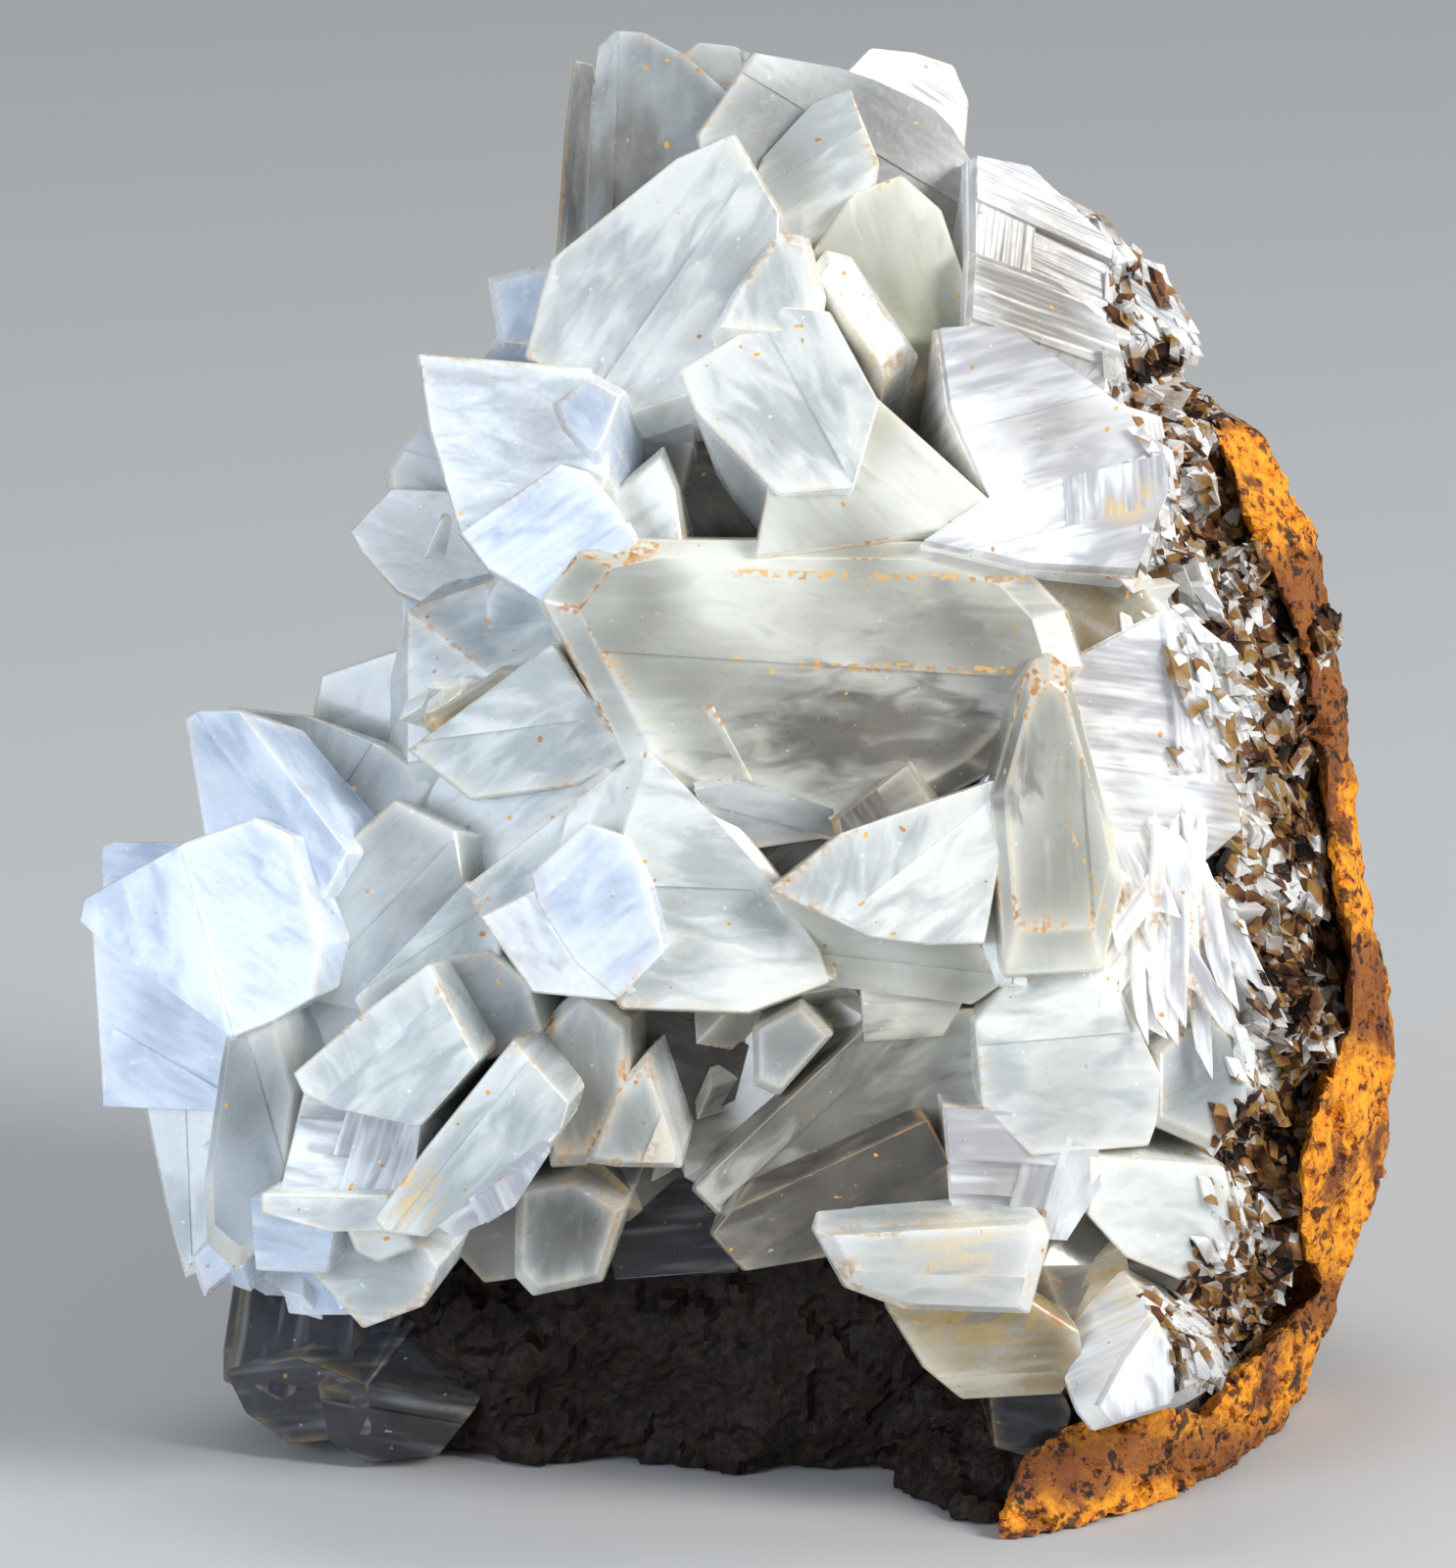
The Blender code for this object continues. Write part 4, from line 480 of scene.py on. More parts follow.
# The outline that the small rhombs of the sides stay in.
OUTLINE = (
    (-26.8, 5.8), (-36.6, 7.4), (-42, 12.6), (-41.8, 21), (-44.6, 21.2), (-48, 35.2), (-51, 35.2),
    (-53, 49.8), (-51.4, 55.4), (-43, 56.2), (-44.6, 66), (-34.9, 66.4), (-33.6, 69.6), (-27.4, 72.2),
    (-31, 81.4), (-26.6, 89), (-25.4, 95.6), (-20, 102), (-14.7, 104.4), (-11, 121.2), (2, 120.6),
    (18, 119.6), (23, 110.8), (33.2, 103), (37.2, 96), (30, 60), (30, 5),
)


class Wire:
    """A value on its way through a node tree, which Python's operators work on."""

    def __init__(self, bench: "Bench", socket: bpy.types.NodeSocket) -> None:
        """Holds the socket that the value comes out of."""
        self.bench = bench
        self.socket = socket

    def _math(self, operation: str, first: "Wire | float", second: "Wire | float") -> "Wire":
        """Adds one Math node.

        Args:
            operation: The Math node's operation.
            first: Its first value.
            second: Its second value.

        Returns:
            The result.
        """
        return self.bench.node("ShaderNodeMath", {"operation": operation}, {0: first, 1: second})

    def __add__(self, other: "Wire | float") -> "Wire":
        """The sum."""
        return self._math("ADD", self, other)

    __radd__ = __add__

    def __sub__(self, other: "Wire | float") -> "Wire":
        """The difference."""
        return self._math("SUBTRACT", self, other)

    def __rsub__(self, other: "Wire | float") -> "Wire":
        """The difference, the other way round."""
        return self._math("SUBTRACT", other, self)

    def __mul__(self, other: "Wire | float") -> "Wire":
        """The product."""
        return self._math("MULTIPLY", self, other)

    __rmul__ = __mul__

    def __truediv__(self, other: "Wire | float") -> "Wire":
        """The quotient."""
        return self._math("DIVIDE", self, other)

    def __rtruediv__(self, other: "Wire | float") -> "Wire":
        """The quotient, the other way round."""
        return self._math("DIVIDE", other, self)

    def __pow__(self, other: "Wire | float") -> "Wire":
        """The power."""
        return self._math("POWER", self, other)

    def most(self, other: "Wire | float") -> "Wire":
        """The larger of two values."""
        return self._math("MAXIMUM", self, other)

    def least(self, other: "Wire | float") -> "Wire":
        """The smaller of two values."""
        return self._math("MINIMUM", self, other)

    def step(self, low: float, high: float) -> "Wire":
        """A smooth step.

        Args:
            low: Where the result is 0.
            high: Where the result is 1.

        Returns:
            The result.
        """
        settings = {"interpolation_type": "SMOOTHSTEP", "clamp": True}
        sockets = {"Value": self, "From Min": low, "From Max": high}
        if low > high:
            sockets = {"Value": self, "From Min": high, "From Max": low, "To Min": 1.0, "To Max": 0.0}
        return self.bench.node("ShaderNodeMapRange", settings, sockets)


class Bench:
    """A node tree under construction, for a material or for geometry."""

    def __init__(self, tree: bpy.types.NodeTree) -> None:
        """Starts from an empty tree."""
        self.tree = tree
        tree.nodes.clear()

    def node(
        self,
        kind: str,
        settings: dict[str, object] | None = None,
        sockets: dict[str | int, object] | None = None,
        output: str | int = 0,
    ) -> Wire:
        """Adds a node of any type.

        Args:
            kind: The node's type.
            settings: Its settings, set first. "stops" fills a ramp with (place, colour) pairs.
            sockets: The values or links of its sockets.
            output: The name or number of the socket that is returned.

        Returns:
            The chosen output.
        """
        made = self.tree.nodes.new(kind)
        for name, value in (settings or {}).items():
            if name == "stops":
                self._fill_ramp(made.color_ramp, value)
            else:
                setattr(made, name, value)
        for name, value in (sockets or {}).items():
            if isinstance(value, Wire):
                self.tree.links.new(value.socket, made.inputs[name])
            elif isinstance(value, tuple) and len(made.inputs[name].default_value) == 4 and len(value) == 3:
                made.inputs[name].default_value = (*value, 1.0)
            else:
                made.inputs[name].default_value = value
        return Wire(self, made.outputs[output]) if len(made.outputs) else Wire(self, None)

    @staticmethod
    def _fill_ramp(ramp: bpy.types.ColorRamp, stops: Sequence[tuple[float, Colour]]) -> None:
        """Gives a ramp its stops.

        Args:
            ramp: The ramp.
            stops: Its places and colours, from left to right.
        """
        while len(ramp.elements) < len(stops):
            ramp.elements.new(0.5)
        for element, (place, colour) in zip(ramp.elements, stops):
            element.position = place
            element.color = (*colour, 1.0)

    def mix(
        self, share: Wire | float, first: Wire | Colour, second: Wire | Colour, blend: str = "MIX"
    ) -> Wire:
        """Mixes two colours.

        Args:
            share: How much of the second there is.
            first: The first colour.
            second: The second colour.
            blend: The blending mode.

        Returns:
            The mixed colour.
        """
        settings = {"data_type": "RGBA", "blend_type": blend}
        return self.node("ShaderNodeMix", settings, {0: share, 6: first, 7: second}, 2)

    def noise(
        self, place: Wire, spacing: float, detail: float = 2.0, rough: float = 0.5, bend: float = 0.0
    ) -> Wire:
        """Noise between 0 and 1.

        Args:
            place: Where it is read.
            spacing: The size of its lumps, in the unit of the place.
            detail: How many finer layers it has.
            rough: How strong the finer layers are.
            bend: How far it is distorted.

        Returns:
            The noise.
        """
        sockets = {"Scale": 1 / spacing, "Detail": detail, "Roughness": rough, "Distortion": bend}
        return self.node("ShaderNodeTexNoise", {}, {"Vector": place, **sockets})

    def stretched(self, place: Wire, factors: Colour) -> Wire:
        """A place with each axis scaled, so that a pattern on it runs in lines."""
        return self.node("ShaderNodeVectorMath", {"operation": "MULTIPLY"}, {0: place, 1: factors})


class Paint(Bench):
    """A material under construction."""

    def __init__(self, name: str) -> None:
        """Starts a material.

        Args:
            name: The material's name.
        """
        self.material = bpy.data.materials.new(name)
        self.material.use_nodes = True
        super().__init__(self.material.node_tree)

    def layout(self) -> Wire:
        """The place on the face in millimetres: across, up and out.

        Returns:
            The place as a vector.
        """
        lean = math.radians(FACE_LEAN)
        return self.node("ShaderNodeMapping", {}, {
            "Vector": self.node("ShaderNodeTexCoord", {}, {}, "Object"),
            "Location": (SHIFT_X, SHIFT_Y * math.sin(lean), -SHIFT_Y * math.cos(lean)),
            "Rotation": (lean - math.pi / 2, 0.0, 0.0), "Scale": (1 / MM,) * 3,
        })

    def parts_of(self, place: Wire) -> tuple[Wire, Wire, Wire]:
        """A vector's three numbers.

        Args:
            place: The vector.

        Returns:
            Its first, second and third number.
        """
        first = self.node("ShaderNodeSeparateXYZ", {}, {0: place})
        made = first.socket.node
        return first, Wire(self, made.outputs[1]), Wire(self, made.outputs[2])

    def away_from(self, place: Wire, middle: Colour, reach: Colour) -> Wire:
        """How far a place is from a middle, in reaches.

        Args:
            place: The place.
            middle: The middle.
            reach: The reach along each axis.

        Returns:
            The distance, 1 at the reach.
        """
        moved = self.node("ShaderNodeVectorMath", {"operation": "SUBTRACT"}, {0: place, 1: middle})
        scaled = self.node("ShaderNodeVectorMath", {"operation": "DIVIDE"}, {0: moved, 1: reach})
        return self.node("ShaderNodeVectorMath", {"operation": "LENGTH"}, {0: scaled}, "Value")

    def patch(self, place: Wire, patch: Patch, ripple: Wire, faint: float, full: float) -> Wire:
        """How strong a patch is at a place.

        Args:
            place: The place.
            patch: The patch.
            ripple: What is added to the distance, so that its edge isn't even.
            faint: The distance at which it begins, in reaches.
            full: The distance at which it is full.

        Returns:
            Its strength there.
        """
        away = self.away_from(place, (*patch.middle, 0.0), (*patch.reach, PATCH_DEPTH))
        return (away + ripple).step(faint, full) * patch.strength

    def map_of(self, name: str) -> Wire:
        """A UV map of the piece."""
        return self.node("ShaderNodeUVMap", {"uv_map": name})

    def bump(self, height: Wire, distance: float, strength: float = 1.0) -> Wire:
        """A bumped normal.

        Args:
            height: The height, from 0 to 1.
            distance: How high 1 stands, in metres.
            strength: How strongly it shows.

        Returns:
            The normal.
        """
        return self.node("ShaderNodeBump", {}, {"Height": height, "Distance": distance, "Strength": strength})

    def finish(self, surface: Wire, volume: Wire | None = None) -> bpy.types.Material:
        """Links the shader to the material's output.

        Args:
            surface: The surface's shader.
            volume: The shader of what is inside, if any.

        Returns:
            The material.
        """
        sockets = {"Surface": surface}
        if volume:
            sockets["Volume"] = volume
        self.node("ShaderNodeOutputMaterial", {}, sockets)
        return self.material


class Texture(NamedTuple):
    """The patterns that a kind of calcite is painted with. All but the places run from 0 to 1."""

    place: Wire
    across: Wire
    up: Wire
    tone: Wire
    inward: Wire
    edge: Wire
    clouds: Wire
    veils: Wire
    stained: Wire
    lines: Wire
    fine_lines: Wire | None
    grain: Wire
    smoke_and_shade: Wire


@dataclass(frozen=True)
class CalciteFinish:
    """How one kind of calcite looks.

    Milk is the colour of its cloudy part and haze that of its deeper clouds. Clear is the least and most of
    it that can be seen through. Gloss is its roughness, silk the strength of its growth lines and stain how
    much orange sits on its edges. Inner is the tint of its clear part. Streak is how dark its fine lines are.
    """

    kind: Kind
    milk: Colour
    haze: Colour
    clear: Spot
    gloss: float = 0.3
    silk: float = 0.3
    stain: float = 0.5
    inner: Colour = (0.93, 0.94, 0.92)
    streak: float = 0.0

    STAIN = (0.76, 0.40, 0.05)
    SPECK = (0.38, 0.16, 0.035)
    YELLOW = (0.80, 0.55, 0.13)
    DUST = (0.95, 0.95, 0.93)
    DEEPER = (0.62, 0.66, 0.70)
    SMOKE_AND_SHADE = (0.17, 0.15, 0.125)
    # Painted cool light: the tint that the left side takes, as from a bluish lamp on the left.
    COOL = (0.80, 0.90, 1.0)
    GREEN = (0.52, 0.58, 0.40)
    # Painted edge highlight, and also the colour of the silky growth lines.
    SILK_AND_EDGE_HIGHLIGHT = (0.97, 0.98, 0.97)
    # Sizes on the layout, and stretches of the growth map, which is in centimetres.
    CLOUD_SIZE = 11.0
    GRAIN_SIZE = 0.5
    SPOT_SPACING = 0.85
    # Where the painted cool light fades out, across.
    PAINTED_COOL_REACH = (8.0, -26.0)
    VEIL_STRETCH = (2.2, 6.0, 1.0)
    LINE_STRETCH = (1.0, 9.0, 1.0)
    FINE_LINE_STRETCH = (1.6, 26.0, 1.0)
    LINE_WIDTH = 1.1
    RELIEF = 0.0006
    # How light passes through: its scattering, its absorption and the least clearness that is modelled.
    SCATTER_SHARE = 0.5
    SCATTER_RADIUS = (1.0, 0.95, 0.9)
    SCATTER_REACH = 0.0026
    DEPTH_COLOUR = (0.82, 0.80, 0.74)
    DEPTH_DENSITY = 90.0
    REFRACTION = 1.6
    LEAST_CLEAR = 0.32

    def texture(self, paint: Paint) -> Texture:
        """Lays out the patterns that the finish is made of.

        Args:
            paint: The material under construction.

        Returns:
            The patterns.
        """
        place = paint.layout()
        across, up, _ = paint.parts_of(place)
        growth = paint.map_of("growth")
        inward, tone, _ = paint.parts_of(paint.map_of("zone"))
        clouds = paint.noise(place, self.CLOUD_SIZE, 1.0)
        veils = paint.noise(paint.stretched(growth, self.VEIL_STRETCH), 1.0, 2.0, 0.55, 0.6)
        lines = paint.noise(paint.stretched(growth, self.LINE_STRETCH), self.LINE_WIDTH, 1.0, 0.6)
        fine_lines = None
        if self.streak:
            fine_lines = paint.noise(paint.stretched(growth, self.FINE_LINE_STRETCH), 1.0, 0.0)
        smoke_and_shade = clouds.step(0.6, 0.8) * 0.25
        ripple = (clouds - 0.5) * 1.2 + (veils - 0.5) * 1.6
        for patch in SMOKE_AND_SHADE_PATCHES.get(self.kind, ()):
            smoke_and_shade = smoke_and_shade.most(paint.patch(place, patch, ripple, 1.25, 0.2))
        return Texture(
            place=place, across=across, up=up, tone=tone, inward=inward, edge=(1 - inward) ** 3.0,
            clouds=clouds, veils=veils, stained=veils.step(0.4, 0.56), lines=lines, fine_lines=fine_lines,
            grain=paint.noise(place, self.GRAIN_SIZE, 0.0), smoke_and_shade=smoke_and_shade,
        )

    def body(self, paint: Paint, look: Texture) -> Wire:
        """The colour of the calcite, with its painted edge highlight, its painted cool light on the left and
        smoke that is partly painted shade, but without dust and stains.

        Args:
            paint: The material under construction.
            look: Its patterns.

        Returns:
            The colour.
        """
        # The haze thins towards the edges of faces, which is part of the painted edge highlight.
        deep = (look.clouds * 0.55 + look.veils * 0.45).step(0.4, 0.6) * (0.7 + look.inward * 0.3)
        colour = paint.mix(deep, self.milk, self.haze)
        colour = paint.mix(look.lines.step(0.5, 0.8) * self.silk * 0.5, colour, self.SILK_AND_EDGE_HIGHLIGHT)
        if look.fine_lines:
            dark_lines = (look.lines * 0.6 + look.fine_lines * 0.4).step(0.5, 0.36)
            colour = paint.mix(dark_lines * look.clouds.step(0.4, 0.55) * self.streak, colour, self.haze)
        # Painted cool light: the left side is tinted blue, fading out towards the right. The tone also
        # deepens at random.
        painted_cool_light = look.across.step(*self.PAINTED_COOL_REACH) * 0.5
        for share, tint in ((painted_cool_light, self.COOL), (look.tone * 0.4, self.DEEPER)):
            colour = paint.mix(share, colour, paint.mix(1.0, colour, tint, "MULTIPLY"))
        # Smoky clouds, partly painted shade in recesses and below the middle.
        colour = paint.mix(look.smoke_and_shade, colour, self.SMOKE_AND_SHADE)
        # Painted edge highlight: the edges of faces are lightened.
        colour = paint.mix(look.edge * (0.35 * self.milk[1]), colour, self.SILK_AND_EDGE_HIGHLIGHT)
        if self.kind is Kind.GREENISH:
            green = paint.patch(look.place, GREEN_TINGE, (look.veils - 0.5) * 1.5, 1.2, 0.2)
            colour = paint.mix(green, colour, self.GREEN)
        return colour

    def yellow(self, paint: Paint, look: Texture) -> Wire:
        """Where the calcite is stained yellow.

        Args:
            paint: The material under construction.
            look: Its patterns.

        Returns:
            The strength of the yellow.
        """
        yellow = look.edge * 0.3
        for patch in STAIN_PATCHES.get(self.kind, ()):
            yellow = yellow.most(paint.patch(look.place, patch, (look.veils - 0.5) * 2.0, 1.2, 0.4))
        return yellow * look.stained * min(1.0, self.stain + 0.3) * 0.7

    def rust(self, paint: Paint, look: Texture) -> Wire:
        """Where rust sits: on edges, in single spots and along the seams.

        Args:
            paint: The material under construction.
            look: Its patterns.

        Returns:
            The strength of the rust.
        """
        rust = look.clouds.step(0.5, 0.58) * look.stained * look.grain.step(0.4, 0.6) * look.edge * self.stain
        spots = paint.noise(look.place, self.SPOT_SPACING, 0.0).step(0.82, 0.85)
        rust = rust.most(spots * 0.9 * min(1.0, self.stain * 2))
        for seam in SEAMS if self.kind is Kind.GREENISH else ():
            foot = seam.height - seam.start * seam.slope
            line = look.up - look.across * seam.slope - foot + (look.veils - 0.5) * 0.8
            line = (line * line).step(0.16, 0.03) * look.across.step(seam.start - 1, seam.start + 1)
            line = line * look.across.step(seam.end + 1, seam.end - 1)
            rust = rust.most(line * look.grain.step(0.46, 0.58) * 0.75)
        return rust

    def material(self) -> bpy.types.Material:
        """Builds the material.

        Returns:
            The material.
        """
        paint = Paint(f"calcite_{self.kind.value}")
        look = self.texture(paint)
        colour = paint.mix(self.yellow(paint, look), self.body(paint, look), self.YELLOW)
        colour = paint.mix(look.grain.step(0.83, 0.87) * 0.5, colour, self.DUST)
        rust = self.rust(paint, look)
        colour = paint.mix(rust, colour, paint.mix(look.veils.step(0.4, 0.6), self.STAIN, self.SPECK))
        height = look.lines * 0.35 * self.silk + look.grain * 0.03
        if look.fine_lines:
            height = height + look.fine_lines * 0.3
        normal = paint.bump(height, self.RELIEF, 0.6 if self.streak else 0.3)
        rough = self.gloss + (look.grain - 0.5) * 0.1 + look.veils.step(0.5, 0.8) * 0.12
        milky = paint.node("ShaderNodeBsdfPrincipled", {"subsurface_method": "BURLEY"}, {
            "Base Color": colour, "Roughness": rough, "IOR": self.REFRACTION, "Normal": normal,
            "Subsurface Weight": self.SCATTER_SHARE, "Subsurface Radius": self.SCATTER_RADIUS,
            "Subsurface Scale": self.SCATTER_REACH,
        })
        low, high = self.clear
        if high < self.LEAST_CLEAR:
            return paint.finish(milky)
        clear = paint.node("ShaderNodeBsdfPrincipled", {}, {
            "Base Color": paint.mix(look.smoke_and_shade, self.inner, self.SMOKE_AND_SHADE), "Roughness": rough * 0.6,
            "IOR": self.REFRACTION, "Normal": normal, "Transmission Weight": 1.0,
        })
        windows = (look.clouds * 0.7 + (1 - look.veils) * 0.3).step(0.32, 0.66)
        # Edges are also less see-through, so that they look lighter. This is part of the painted edge
        # highlight.
        seen = (low + (high - low) * windows + look.smoke_and_shade * 0.2) * (1 - look.edge * 0.4) * (1 - rust)
        surface = paint.node("ShaderNodeMixShader", {}, {0: seen.least(0.95).most(0.0), 1: milky, 2: clear})
        depth = {"Color": self.DEPTH_COLOUR, "Density": self.DEPTH_DENSITY}
        return paint.finish(surface, paint.node("ShaderNodeVolumeAbsorption", {}, depth))


FINISHES = (
    CalciteFinish(Kind.PALE, (0.72, 0.735, 0.705), (0.43, 0.46, 0.455), (0.04, 0.3), gloss=0.26),
    CalciteFinish(
        Kind.BLUE, (0.67, 0.73, 0.81), (0.43, 0.50, 0.60), (0.02, 0.2), gloss=0.26, silk=0.4, stain=0.3,
    ),
    CalciteFinish(Kind.GREY, (0.68, 0.705, 0.69), (0.40, 0.43, 0.43), (0.15, 0.5), gloss=0.25),
    CalciteFinish(Kind.GREENISH, (0.78, 0.785, 0.71), (0.54, 0.545, 0.47), (0.05, 0.35), stain=0.9),
    # Smoky calcite, its darkness partly painted shade.
    CalciteFinish(
        Kind.SMOKY, (0.34, 0.32, 0.28), (0.17, 0.15, 0.125), (0.25, 0.6), gloss=0.22, silk=0.4, stain=0.7,
    ),
    CalciteFinish(
        Kind.WHITE, (0.84, 0.85, 0.85), (0.42, 0.42, 0.44), (0.0, 0.06), gloss=0.35, silk=1.3, streak=0.65,
    ),
    CalciteFinish(
        Kind.AMBER, (0.58, 0.53, 0.41), (0.34, 0.26, 0.14), (0.2, 0.5), gloss=0.28, silk=0.6, stain=1.0,
    ),
    # Painted shade: calcite in the shade of the underside, near black, with a dark grey clear part.
    CalciteFinish(
        Kind.DARK, (0.07, 0.07, 0.08), (0.03, 0.03, 0.035), (0.3, 0.6), gloss=0.16, silk=0.5, stain=0.3,
        inner=(0.38, 0.4, 0.44),
    ),
)


def standing() -> Matrix:
    """The move from the layout on the face to the standing specimen, in metres.

    Returns:
        The matrix.
    """
    lean = math.radians(FACE_LEAN)
    up = (0, math.sin(lean), math.cos(lean))
    out = (0, -math.cos(lean), math.sin(lean))
    turn = Matrix(((1, 0, 0), up, out)).transposed().to_4x4()
    return Matrix.Scale(MM, 4) @ Matrix.Translation((-SHIFT_X, -SHIFT_Y, 0)) @ turn


def on_face(point: Vector) -> Vector:
    """A point of the standing specimen, in metres, as a place on the layout."""
    return standing().inverted() @ point


def from_work(name: str, work: bmesh.types.BMesh, collection: bpy.types.Collection) -> bpy.types.Object:
    """Makes an object from a bmesh.

    Args:
        name: The object's name.
        work: The bmesh, which is freed.
        collection: Where the object goes.

    Returns:
        The object.
    """
    bmesh.ops.recalc_face_normals(work, faces=work.faces)
    mesh = bpy.data.meshes.new(name)
    work.to_mesh(mesh)
    work.free()
    made = bpy.data.objects.new(name, mesh)
    collection.objects.link(made)
    return made


def baked(host: bpy.types.Object) -> bpy.types.Mesh:
    """Applies an object's modifiers.

    Args:
        host: The object, which stays as it is.

    Returns:
        The mesh that its modifiers make.
    """
    bpy.context.view_layer.update()
    graph = bpy.context.evaluated_depsgraph_get()
    made = host.evaluated_get(graph)
    return bpy.data.meshes.new_from_object(made, preserve_all_data_layers=True, depsgraph=graph)


def merged_copy(node: str, name: str) -> bpy.types.Object:
    """A copy of a CAD node with its loose triangles joined.

    Args:
        node: The node's name.
        name: The copy's name.

    Returns:
        The copy.
    """
    work = bmesh.new()
    work.from_mesh(frame["nodes"][node].data)
    work.transform(frame["nodes"][node].matrix_world)
    bmesh.ops.remove_doubles(work, verts=work.verts, dist=SAME_POINT)
    return from_work(name, work, bpy.context.scene.collection)


def inside(outline: Sequence[Spot], across: float, up: float) -> bool:
    """Whether a point lies in an outline.

    Args:
        outline: The corners.
        across: The point's first number.
        up: Its second.

    Returns:
        True if it does.
    """
    found = False
    for (x0, y0), (x1, y1) in zip(outline, (*outline[1:], outline[0])):
        if (y0 > up) != (y1 > up) and across < x0 + (up - y0) / (y1 - y0) * (x1 - x0):
            found = not found
    return found


def clipped(corners: Sequence[Vector], start: Vector, away: Vector) -> list[Vector]:
    """The part of a polygon on one side of a plane.

    Args:
        corners: The polygon's corners.
        start: A point of the plane.
        away: The way to the side that is kept.

    Returns:
        The corners that are left.
    """
    kept = []
    for here, there in zip(corners, (*corners[1:], corners[0])):
        first = (here - start).dot(away)
        second = (there - start).dot(away)
        if first >= 0:
            kept.append(here)
        if (first < 0) != (second < 0):
            kept.append(here.lerp(there, first / (first - second)))
    return kept


def hash_of(name: str) -> int:
    """A number that stays the same for a name."""
    return sum((index + 1) * ord(letter) for index, letter in enumerate(name))


def set_inputs(modifier: bpy.types.NodesModifier, values: dict[str, object]) -> None:
    """Sets a modifier's inputs by the identifiers of the sockets with these names.

    Args:
        modifier: The modifier.
        values: The value of each input.
    """
    for item in modifier.node_group.interface.items_tree:
        if item.item_type == "SOCKET" and item.in_out == "INPUT" and item.name in values:
            modifier[item.identifier] = values[item.name]


@dataclass
class CrystalGroup:
    """The calcite: every crystal, the massive calcite behind them and the small rhombs around them.

    Lengths are in millimetres. Sinks say how far from a lump's middle its rhombs sit, 1 being its surface.
    """

    name: str = "calcite_growth"
    rise: float = 1.1
    rim_size: float = 1.03
    root_depth: float = -20.0
    root_pull: float = 0.42
    root_size: float = 0.4
    least_length: float = 9.0
    flat_angle: float = 0.02
    sharp_angle: float = 0.35
    bevel: float = 0.14
    border: float = 2.0
    bordered_area: float = 9.0
    terrace_rise: float = 0.32
    terrace_reach: float = 7.0
    terrace_foot: float = 1.5
    terrace_size: float = 0.985
    terraces: int = 1
    cleavage_steps: int = 7
    cleavage_angles: Spot = (0, 78)
    cleavage_rise: float = 0.28
    fillers: int = 90
    filler_size: Spot = (3.0, 6.0)
    filler_sink: float = 0.86
    filler_seed: int = 29
    side_crystals: int = 44
    side_size: Spot = (5.0, 9.5)
    side_sink: float = 0.94
    side_flatness: float = 0.5
    splinters_each: int = 3
    splinter_size: Spot = (3.0, 5.5)
    spray_seed: int = 8
    needles: int = 90
    needle_size: Spot = (5.0, 11.0)
    spray_middle: Spot = (34.0, 54.0)
    spray_arc: Spot = (-128.0, -58.0)
    side_seed: int = 11
    splinter_seed: int = 5
    plate_seed: int = 3
    materials: dict[Kind, bpy.types.Material] = field(default_factory=dict)

    # What spreads the bodies over the growth map and over the tones, by their names.
    MAP_PLACES = 97
    MAP_STEP = 3.7
    TONE_STEP = 0.618

    def ring(self, crystal: Crystal, size: float, push: float, shift: Vector | None = None) -> list[Vector]:
        """The crystal's outline laid on its turned plane.

        Args:
            crystal: The crystal.
            size: How far the outline is drawn in or out.
            push: How far it is pushed out.
            shift: How far it is moved on the face, if at all.

        Returns:
            Its corners.
        """
        centre = self.middle(crystal)
        corners = []
        for point in crystal.outline:
            offset = (Vector(point) - centre) * size + (shift or Vector((0, 0)))
            spot = centre + offset
            out = crystal.out - crystal.turn[0] * offset.x - crystal.turn[1] * offset.y + push
            corners.append(Vector((spot.x, spot.y, out)))
        return corners

    @staticmethod
    def middle(crystal: Crystal) -> Vector:
        """The middle of a crystal's outline."""
        return sum((Vector(point) for point in crystal.outline), Vector((0, 0))) / len(crystal.outline)

    def hull(
        self, name: str, kind: Kind, points: Sequence[Vector], axis: Vector, group: bpy.types.Collection,
        bevel: float, rimmed: bool = True,
    ) -> None:
        """Makes one flat-faced body with softened edges, a border for the painted edge highlight on its large
        faces and its two UV maps.

        Args:
            name: The body's name.
            kind: Its kind, which picks its material.
            points: The points that it wraps.
            axis: The way its growth lines run.
            group: The collection that it joins.
            bevel: The width of its softened edges.
            rimmed: Whether its large faces get a painted highlight that grows towards their edges.
        """
        work = bmesh.new()
        for point in points:
            work.verts.new(point)
        wrapped = bmesh.ops.convex_hull(work, input=work.verts)
        spare = [item for item in wrapped["geom_interior"] if isinstance(item, bmesh.types.BMVert)]
        bmesh.ops.delete(work, geom=spare, context="VERTS")
        bmesh.ops.dissolve_limit(work, angle_limit=self.flat_angle, verts=work.verts, edges=work.edges)
        if bevel:
            sharp = [edge for edge in work.edges if edge.calc_face_angle(0.0) > self.sharp_angle]
            bmesh.ops.bevel(work, geom=sharp, offset=bevel, segments=1, affect="EDGES", clamp_overlap=True)
        bmesh.ops.recalc_face_normals(work, faces=work.faces)
        outer = set(work.verts)
        large = [
            face for face in work.faces if face.calc_area() > self.bordered_area and face.normal.z > 0.1
        ]
        if large and rimmed:
            bmesh.ops.inset_individual(work, faces=large, thickness=0.0)
            for face in large:
                reach = math.sqrt(face.calc_area() / math.pi)
                middle = face.calc_center_median()
                for vertex in face.verts:
                    vertex.co = vertex.co.lerp(middle, min(0.5, self.border / reach))
        self.lay_maps(work, name, axis, outer, set() if rimmed else set(large))
        for face in work.faces:
            face.material_index = list(Kind).index(kind)
        made = from_work(name, work, group)
        for each in Kind:
            made.data.materials.append(self.materials[each])

